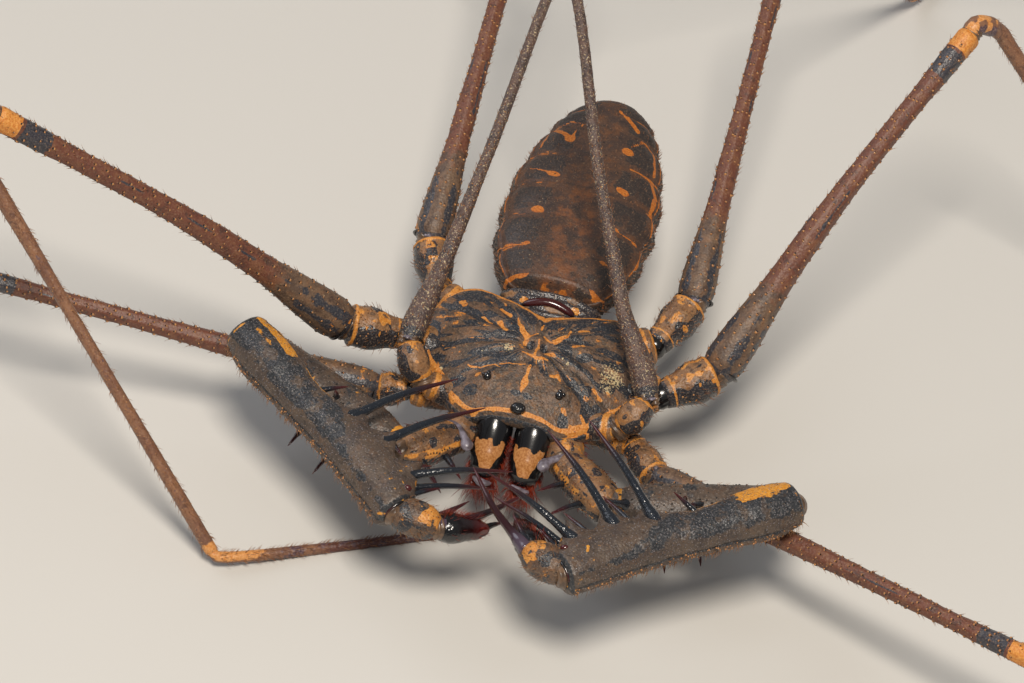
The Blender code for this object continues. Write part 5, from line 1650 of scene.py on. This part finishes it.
def palpMarks(inner):
    def marks(share, turn, spot):
        upper = 0.5 - abs(turn - 0.5)
        inward = (turn - 0.5) * inner      # positive on the spined side, 0 on top
        split = 1 - 0.75 * hump(inward, 0.128 - 0.03 * share, 0.008) * smoothStep(0.2, 0.12, share)
        band = smoothStep(0.015, 0.035, share) * smoothStep(0.265, 0.235, share + 0.02 * rough(spot, 0.3))
        first = 0.045 if inner > 0 else 0.005
        band *= smoothStep(first, first + 0.03, inward + 0.06 * share) * smoothStep(
            0.195, 0.165, inward + 0.02 * rough(spot, 0.4)
        )
        band *= 0.72 + 0.4 * rough((share * 14, inward * 70, 0), 1.0)      # drawn out in strands
        faint = 0.52 * smoothStep(0.05, 0.09, share) * smoothStep(0.2, 0.15, share) * hump(inward, 0.0, 0.035)
        ridge = 0.95 * hump(
            inward, 0.135 + 0.25 * max(share - 0.42, 0), 0.012
        ) * smoothStep(0.27, 0.33, share) * smoothStep(0.54, 0.48, share)
        rims = 0.9 * sum(hump(share, at, 0.012) for at in (0.645, 0.795, 0.935)) * hump(inward, 0.2, 0.03)
        elbow = 0.6 * hump(share, 0.03, 0.005) * smoothStep(0.1, 0.2, upper)
        dots = 0.5 * smoothStep(0.8, 0.86, share) * smoothStep(0.2, 0.5, rough(spot, 0.35))
        orange = max(band * split, faint, ridge, rims, elbow, dots)
        core = smoothStep(-0.21, -0.13, inward) * smoothStep(
            0.17, 0.07, inward + 0.22 * smoothStep(0.5, 0.75, share)
        )
        dark = (
            core * (0.6 + 0.3 * rough(spot, 1.1, 2.0)) + 0.3 * smoothStep(0.2, 0.05, upper)
            + 0.3 * smoothStep(0.12, 0.0, share)
        )
        dark = max(
            dark,
            sum(0.75 * hump(share, at, 0.025) for at in (0.57, 0.72, 0.875)) * hump(inward, 0.22, 0.035)
        )
        dark = max(
            dark, 0.9 * smoothStep(0.97, 0.99, share) * smoothStep(0.1, 0.3, upper),
            0.8 * hump(inward, -0.262, 0.016) * smoothStep(0.05, 0.15, share)
        )
        # the pale tone on the slate core along the top is partly fine dust specks and partly a painted sheen
        return orange, dark, 0.2 * core + 0.05, 0.0
    return marks


def palpFemurMarks(share, turn, spot):
    return (
        0.35 * smoothStep(0.15, 0.5, rough(spot, 0.8)) + 0.8 * hump(share, 0.06, 0.015),
        0.5 * smoothStep(-0.1, 0.4, rough(spot, 1.0, 3.0)), 0.14, 0.0
    )


def palpTibiaMarks(share, turn, spot):
    upper = 0.5 - abs(turn - 0.5)
    orange = (
        smoothStep(0.45, 0.75, share) * smoothStep(0.25, 0.4, upper) * (0.7 + 0.5 * rough(spot, 0.5))
        + 0.35 * smoothStep(0.1, 0.4, rough(spot, 0.5))
    )
    return (
        orange, 0.75 * smoothStep(-0.05, 0.25, rough(spot, 0.7, 3.0)) + 0.4 * smoothStep(0.25, 0.1, upper),
        0.14, 0.1
    )


def palpTrochanterMarks(share, turn, spot):
    upper = 0.5 - abs(turn - 0.5)
    lower = smoothStep(0.30, 0.22, upper + 0.08 * rough(spot, 0.8, 6.0))
    patch = smoothStep(0.15, 0.3, rough(spot, 0.8, 6.0)) * 0.9
    edge = hump(upper, 0.31, 0.035)
    orange = max(
        0.9 * edge * smoothStep(-0.4, 0.1, rough(spot, 0.6)),
        0.5 * smoothStep(0.05, 0.4, rough(spot, 0.6, 1.0))
    )
    return orange, max(lower, patch * (1 - edge)), 0.14, 0.0


def makePalp(name):
    ends = palps[name]
    side = name.rsplit("_", 1)[1]
    inner = 1 if side == "right" else -1
    thornForm = bmesh.new()
    longForm = bmesh.new()

    form = bmesh.new()
    rows = growLimb(
        form, ends["coxa"], ((0, 2.2), (0.6, 2.7, 2.6), (1, 2.4)), sides=40, spacing=0.1, ends=(0.6, 0.7),
        marks=palpTrochanterMarks, relief=lumps((0.07, 0.6))
    )
    cell = nextCell()
    bristleLimb(rows, cell, "red", 80, 0.5, 0.035, 0.8)
    scatterKnobs(rows, cell, "grey", 60, (0.03, 0.06))
    finishPiece(form, name + "_coxa_skin", jointSkin, (name + "_coxa",))

    form = bmesh.new()
    rows = growLimb(
        form, ends["trochanter"], ((0, 2.2, 2.3), (0.5, 2.9, 2.8), (1, 2.5)), sides=48, spacing=0.09,
        ends=(0.6, 0.9), marks=palpTrochanterMarks,
        relief=lambda share, turn, spot: 0.07 * rough(spot, 0.8) + 0.02 * rough(spot, 0.2)
            + 0.06 * hump(0.5 - abs(turn - 0.5), 0.3, 0.02)
    )
    cell = nextCell()
    # a row of black granules along each plate's edge
    for share in (0.25 + 0.05 * step for step in range(11)):
        for turn in (0.31, 0.69):
            spot, out, _ = surfaceAt(rows, share, turn + draw.uniform(-0.01, 0.01))
            addKnob("black", spot, out, draw.uniform(0.05, 0.075), 0.08, cellPlace(cell, turn, share))
    scatterKnobs(rows, cell, "black", 70, (0.03, 0.055), (0.2, 0.8))
    scatterKnobs(rows, cell, "grey", 90, (0.03, 0.055), (0.1, 0.9))
    bristleLimb(rows, cell, "red", 90, 0.4, 0.035, 0.8)
    finishPiece(form, name + "_trochanter_skin", jointSkin, (name + "_trochanter",))
    growThorns(thornForm, name, "trochanter", lambda share: 1.35)

    form = bmesh.new()
    rows = growLimb(
        form, ends["femur"],
        (
            (0, 2.2, 2.4), (0.25, palpWidth * 0.95, palpWidth * 0.86),
            (0.85, palpWidth * 0.95, palpWidth * 0.86), (1, palpWidth * 0.85, palpWidth * 0.8),
        ),
        sides=56, spacing=0.13, ends=(0.6, 1.0), marks=palpFemurMarks,
        relief=lumps((0.05, 0.9), (0.014, 0.2))
    )
    cell = nextCell()
    scatterKnobs(rows, cell, "grey", 240, (0.04, 0.07), (0, 1), (0.05, 0.95))
    scatterKnobs(rows, cell, "black", 110, (0.05, 0.09), (0.25, 0.75), (0.05, 0.95))
    bristleLimb(rows, cell, "brown", 130, 0.26, 0.035, 0.8)
    # blunt black teeth on the top
    for share, turn, length in ((0.42, 0.56, 0.8), (0.55, 0.62, 0.6), (0.68, 0.54, 0.5), (0.8, 0.6, 0.45)):
        spot, out, _ = surfaceAt(rows, share, 0.5 + (turn - 0.5) * inner)
        growThorn(thornForm, spot - out * 0.3, spot + out * length, 0.5, Vector())
    finishPiece(form, name + "_femur_skin", palpSkin, (name + "_femur",))
    growThorns(thornForm, name, "femur", lambda share: palpWidth / 2)

    def patellaRelief(share, turn, spot):
        inward = (turn - 0.5) * inner
        ridge = 0.09 * hump(inward, 0.135, 0.03) * smoothStep(0.02, 0.1, share) * smoothStep(0.6, 0.5, share)
        keel = (
            0.15 * hump(inward, -0.30, 0.022) * smoothStep(0.03, 0.12, share)
            - 0.08 * hump(inward, -0.262, 0.014) * smoothStep(0.05, 0.15, share)
        )
        bosses = sum(
            1.25 * math.exp(-abs(share - at) / 0.034) for at in (0.57, 0.72, 0.875)
        ) * hump(inward, 0.2, 0.055)
        scallops = sum(-0.25 * hump(share, at, 0.03) for at in (0.645, 0.797)) * hump(inward, 0.22, 0.08)
        return (
            ridge + keel + bosses + scallops + 0.05 * rough(spot, 0.9) + 0.03 * rough(spot, 0.35)
            + 0.012 * rough(spot, 0.16)
        )

    form = bmesh.new()
    shape = [(share, width, height, -inner * lean, 0) for share, width, height, lean in patellaShape]
    rows = growLimb(
        form, ends["patella"], shape, sides=104, spacing=0.1, ends=(0.45, 0.4), marks=palpMarks(inner),
        relief=patellaRelief
    )
    cell = nextCell()
    scatterKnobs(rows, cell, "pearl", 1500, (0.02, 0.045))
    scatterKnobs(rows, cell, "grey", 500, (0.025, 0.055))
    scatterKnobs(rows, cell, "black", 260, (0.025, 0.05))
    bristleLimb(rows, cell, "tan", 90, 0.3, 0.032, 0.6)
    outer = 0.5 - 0.3 * inner
    for turn in (outer - 0.02, outer, outer + 0.025):      # tan bristles on granules along the keel
        bristleLimb(rows, cell, "tan", 60, 0.42, 0.04, 0.35, (turn - 0.008, turn + 0.008), (0.02, 0.97))
        scatterKnobs(rows, cell, "horn", 55, (0.05, 0.08), (turn - 0.01, turn + 0.01), (0.02, 0.97))
    growThorns(
        thornForm, name, "patella",
        lambda share: profileAt(shape, share)[0] / 2 + abs(profileAt(shape, share)[2])
    )
    spot, out, _ = surfaceAt(rows, 0.95, 0.5 + 0.1 * inner)      # the dark red knob of the joint
    bead(pieces["knobs"], spot - out * 0.08, 0.27, (1.1, 0.8, 0.9), 0.95)
    arc = [surfaceAt(rows, 0.985, 0.5 + turn * inner)[0] for turn in (0.2, 0.12, 0.0, -0.12, -0.2)]
    growLimb(
        pieces["knobs"], arc, ((0, 0.08), (0.5, 0.26, 0.2), (1, 0.08)), sides=10, spacing=0.1,
        ends=(0.05, 0.05)
    )
    finishPiece(form, name + "_patella_skin", palpSkin, (name + "_patella",))

    form = bmesh.new()
    rows = growLimb(
        form, ends["tibia"], ((0, 2.0), (0.5, 2.4, 2.3), (1, 1.9)), sides=48, spacing=0.09, ends=(0.6, 0.8),
        marks=palpTibiaMarks, relief=lumps((0.05, 0.7), (0.014, 0.2))
    )
    cell = nextCell()
    bristleLimb(rows, cell, "tan", 110, 0.4, 0.035, 0.6)
    scatterKnobs(rows, cell, "grey", 110, (0.025, 0.05))
    scatterKnobs(rows, cell, "black", 60, (0.025, 0.05))
    finishPiece(form, name + "_tibia_skin", palpTipSkin, (name + "_tibia",))
    growThorns(thornForm, name, "tibia", lambda share: 1.2, longForm)
    finishPiece(thornForm, name + "_thorns", thornSkin, ())
    finishPiece(longForm, name + "_long_thorn", longThornSkin, ())

    form = bmesh.new()
    rows = growLimb(
        form, ends["tarsus"], ((0, 1.5), (0.3, 2.0, 1.85), (0.7, 1.5, 1.4), (1, 0.7)), sides=36,
        spacing=0.08, ends=(0.4, 0.3),
        relief=lambda share, turn, spot: 0.02 * rough(spot, 0.3) + 0.03 * max(0.0, rough(spot, 0.18))
    )
    clawRoot, clawTip = (Vector(end) for end in ends["claw"])
    growThorn(form, clawRoot, clawTip, 0.5, up * 0.1)
    cell = nextCell()
    comb = (0.5, 0.66) if side == "right" else (0.34, 0.5)
    bristleLimb(rows, cell, "red", 130, 0.55, 0.028, 0.45, comb, (0.05, 0.85))
    bristleLimb(rows, cell, "red", 70, 0.3, 0.028, 0.9)
    finishPiece(form, name + "_tarsus_skin", tarsusSkin, (name + "_tarsus",))

    for first, second, size, length in (
        ("coxa", "trochanter", 1.0, 1.3), ("trochanter", "femur", 1.05, 1.4), ("tibia", "tarsus", 0.72, 0.8)
    ):
        way = (Vector(ends[second][1]) - Vector(ends[second][0])).normalized()
        collar(
            pieces["membranes"], Vector(ends[second][0]).lerp(Vector(ends[first][1]), 0.5), way, size,
            length
        )
    joint = Vector(ends["patella"][1]).lerp(Vector(ends["tibia"][0]), 0.5)
    collar(
        pieces["membranes"], joint, (Vector(ends["tibia"][1]) - Vector(ends["patella"][0])).normalized(),
        0.85, 0.9
    )
    elbow = Vector(ends["patella"][0]).lerp(Vector(ends["femur"][1]), 0.5)
    collar(
        pieces["membranes"], elbow, (Vector(ends["patella"][0]) - Vector(ends["femur"][1])).normalized(),
        0.85, 1.6
    )
    wing = [Vector(point) for point in ends["wing"]]      # the soft pale lobe beside the chelicera
    growLimb(pieces["lobes"], [wing[0] - Vector((0, 0, 0.5))] + wing, (
        (0, 0.35, 0.3), (0.35, 0.5, 0.4), (0.7, 0.5, 0.42), (0.88, 0.82, 0.6), (1.0, 0.7, 0.5),
    ), sides=28, spacing=0.08, ends=(0.2, 0.35), relief=lumps((0.02, 0.3)))


for palpName in palps:
    makePalp(palpName)
    print(palpName, "made")


# Chelicerae: glossy barrels with a dull orange front, soft pads and a brush of red hairs below, and a
# folded fang

chelicera = {
    "top": (-1.3, -3.6, 7.2), "foot": (-1.25, -7.2, 4.3), "patch": (0.46, 0.9),
    "profile": ((0, 2.1, 2.0), (0.3, 2.46, 2.35), (0.65, 2.34, 2.2), (0.85, 2.0, 1.85), (1, 1.45, 1.35)),
}


def cheliceraMarks(share, turn, spot):
    across = (turn - 0.5) / 0.17      # -1 to 1 over the orange front
    start, end = chelicera["patch"]
    lobed = (
        start + 0.09 * hump(across, 0.3, 0.16) + 0.05 * hump(across, -0.55, 0.12) + 0.05 * rough(spot, 0.3)
    )
    narrow = 1 - 0.6 * smoothStep(0.5, 0.9, share)
    patch = smoothStep(lobed - 0.015, lobed + 0.02, share) * smoothStep(
        end + 0.01, end - 0.03, share + 0.12 * across ** 2
    )
    return 0.8 * patch * smoothStep(1.1, 0.75, abs(across) / narrow), 0.0, 0.0, 0.0


def makeChelicera(side):
    top = sided(chelicera["top"], side)
    foot = sided(chelicera["foot"], side)
    form = bmesh.new()
    rows = growLimb(
        form, (top, foot), chelicera["profile"], sides=72, spacing=0.07, ends=(0.8, 0.6),
        marks=cheliceraMarks, relief=lumps((0.012, 0.9))
    )
    cell = nextCell()
    inner = (0.66, 0.86) if side == "right" else (0.14, 0.34)
    bristleLimb(rows, cell, "red", 150, 0.4, 0.03, 0.6, inner, (0.3, 0.98))
    bristleLimb(rows, cell, "red", 220, 0.6, 0.034, 0.8, (0.72, 1.28), (0.72, 0.99))
    bristleLimb(rows, cell, "red", 40, 0.3, 0.03, 0.5, (0.14, 0.34) if side == "right" else (0.66, 0.86), (
        0.3, 0.9,
    ))
    finishPiece(form, "chelicera_" + side + "_skin", cheliceraSkin, ("chelicera_" + side,))
    growLimb(
        pieces["lobes"],
        (
            foot + Vector((-0.62, -0.32, 0.32)), foot + Vector((0, -0.5, 0.14)),
            foot + Vector((0.62, -0.32, 0.05))
        ),
        ((0, 0.3, 0.24), (0.5, 0.62, 0.42), (1, 0.3, 0.24)), sides=24, spacing=0.07, ends=(0.2, 0.2)
    )
    form = bmesh.new()
    rows = growLimb(
        form, (foot + Vector((0, 0.4, 0.3)), foot + Vector((0, 0.1, -1.0)), foot + Vector((0, 1.3, -1.7))),
        ((0, 0.9), (0.5, 0.7), (1, 0.3)), sides=24, spacing=0.08, ends=(0.3, 0.2), upward=Vector((1, 0, 0))
    )
    bristleLimb(rows, cell, "red", 260, 0.75, 0.034, 0.5)
    for _ in range(240):      # the brush in front of the mouth
        root = foot + Vector((draw.uniform(-0.75, 0.75), draw.uniform(-0.3, 0.9), draw.uniform(-0.5, 0.1)))
        way = Vector((draw.uniform(-0.6, 0.6), draw.uniform(-1.0, 0.1), draw.uniform(-1.1, -0.3)))
        addHair(
            "red", root, way, draw.uniform(0.9, 2.1), 0.05, cellPlace(cell, 0.5, 0.9), Vector((0, -0.15, 0))
        )
    finishPiece(form, "fang_" + side + "_skin", fangSkin, ("fang_" + side,))


for sideName in ("right", "left"):
    makeChelicera(sideName)

finishPiece(pieces["membranes"], "joint_membranes", jointMembrane, ())
finishPiece(pieces["lobes"], "soft_lobes", paleMembrane, ())
finishPiece(pieces["knobs"], "joint_knobs", condyleSkin, ())
finishPiece(pieces["hinges"], "hinge_caps", paleMembrane, ())

for kind, slot in (("brown", "femur"), ("tan", "palp"), ("red", "palp_tip")):
    buildShapes("coat_" + kind + "_setae", [hairShape(hair) for hair in hairs[kind]], coatSkins[kind])
for kind, slot in (("horn", "femur"), ("grey", "palp"), ("pearl", "palp"), ("black", "palp")):
    buildShapes(kind + "_granules", [knobShape(knob) for knob in knobs[kind]], coatSkins[kind])
print("cells on the bake map", cellCount)


# Floor, light and camera

def makeFloor():
    form = bmesh.new()
    bmesh.ops.create_grid(form, x_segments=2, y_segments=2, size=1.5)
    mesh = bpy.data.meshes.new("floor")
    form.to_mesh(mesh)
    form.free()
    material, tree, shader = newMaterial("matt studio paper", 0.85, specular=0.2)
    shader.inputs["Base Color"].default_value = toLinear("#cfccc6")
    mesh.materials.append(material)
    floor = bpy.data.objects.new("floor", mesh)
    bpy.context.scene.collection.objects.link(floor)


def addLight(name, place, size, power, colour="#ffffff"):
    light = bpy.data.lights.new(name, "AREA")
    light.shape = "DISK"
    light.size = size
    light.energy = power
    light.color = toLinear(colour)[:3]
    lamp = bpy.data.objects.new(name, light)
    lamp.location = place
    lamp.rotation_mode = "QUATERNION"
    lamp.rotation_quaternion = (-Vector(place)).to_track_quat("-Z", "Y")
    bpy.context.scene.collection.objects.link(lamp)


camera = {
    "azimuth": 6, "elevation": 44, "roll": 9, "distance": 250, "lens": 135.7, "target": (-1.7, 1.8, 8.0)
}


def makeCamera():
    azimuth, elevation, roll = (math.radians(camera[key]) for key in ("azimuth", "elevation", "roll"))
    back = Vector(
        (
            math.sin(azimuth) * math.cos(elevation), -math.cos(azimuth) * math.cos(elevation),
            math.sin(elevation)
        )
    )
    right = Vector((math.cos(azimuth), math.sin(azimuth), 0))
    above = back.cross(right)
    turnedRight = right * math.cos(roll) + above * math.sin(roll)
    turnedUp = above * math.cos(roll) - right * math.sin(roll)
    target = (Vector(camera["target"]) + bodyPlace) * mm
    place = target + back * camera["distance"] * mm
    data = bpy.data.cameras.new("view")
    data.sensor_width = 36
    data.lens = camera["lens"]
    data.clip_start = 0.01
    view = bpy.data.objects.new("view", data)
    view.matrix_world = Matrix((
        (turnedRight.x, turnedUp.x, back.x, place.x), (turnedRight.y, turnedUp.y, back.y, place.y),
        (turnedRight.z, turnedUp.z, back.z, place.z), (0, 0, 0, 1),
    ))
    bpy.context.scene.collection.objects.link(view)
    bpy.context.scene.camera = view


makeFloor()
makeCamera()
addLight("key", (0.03, -0.2, 0.42), 0.13, 1.95, "#fff6ea")
addLight("fill", (-0.35, 0.15, 0.32), 0.35, 0.6, "#eef3ff")
world = bpy.data.worlds.new("studio")
world.use_nodes = True
world.node_tree.nodes["Background"].inputs["Color"].default_value = toLinear("#e8ebef")
world.node_tree.nodes["Background"].inputs["Strength"].default_value = 0.26
bpy.context.scene.world = world
bpy.context.scene.view_settings.view_transform = "Standard"
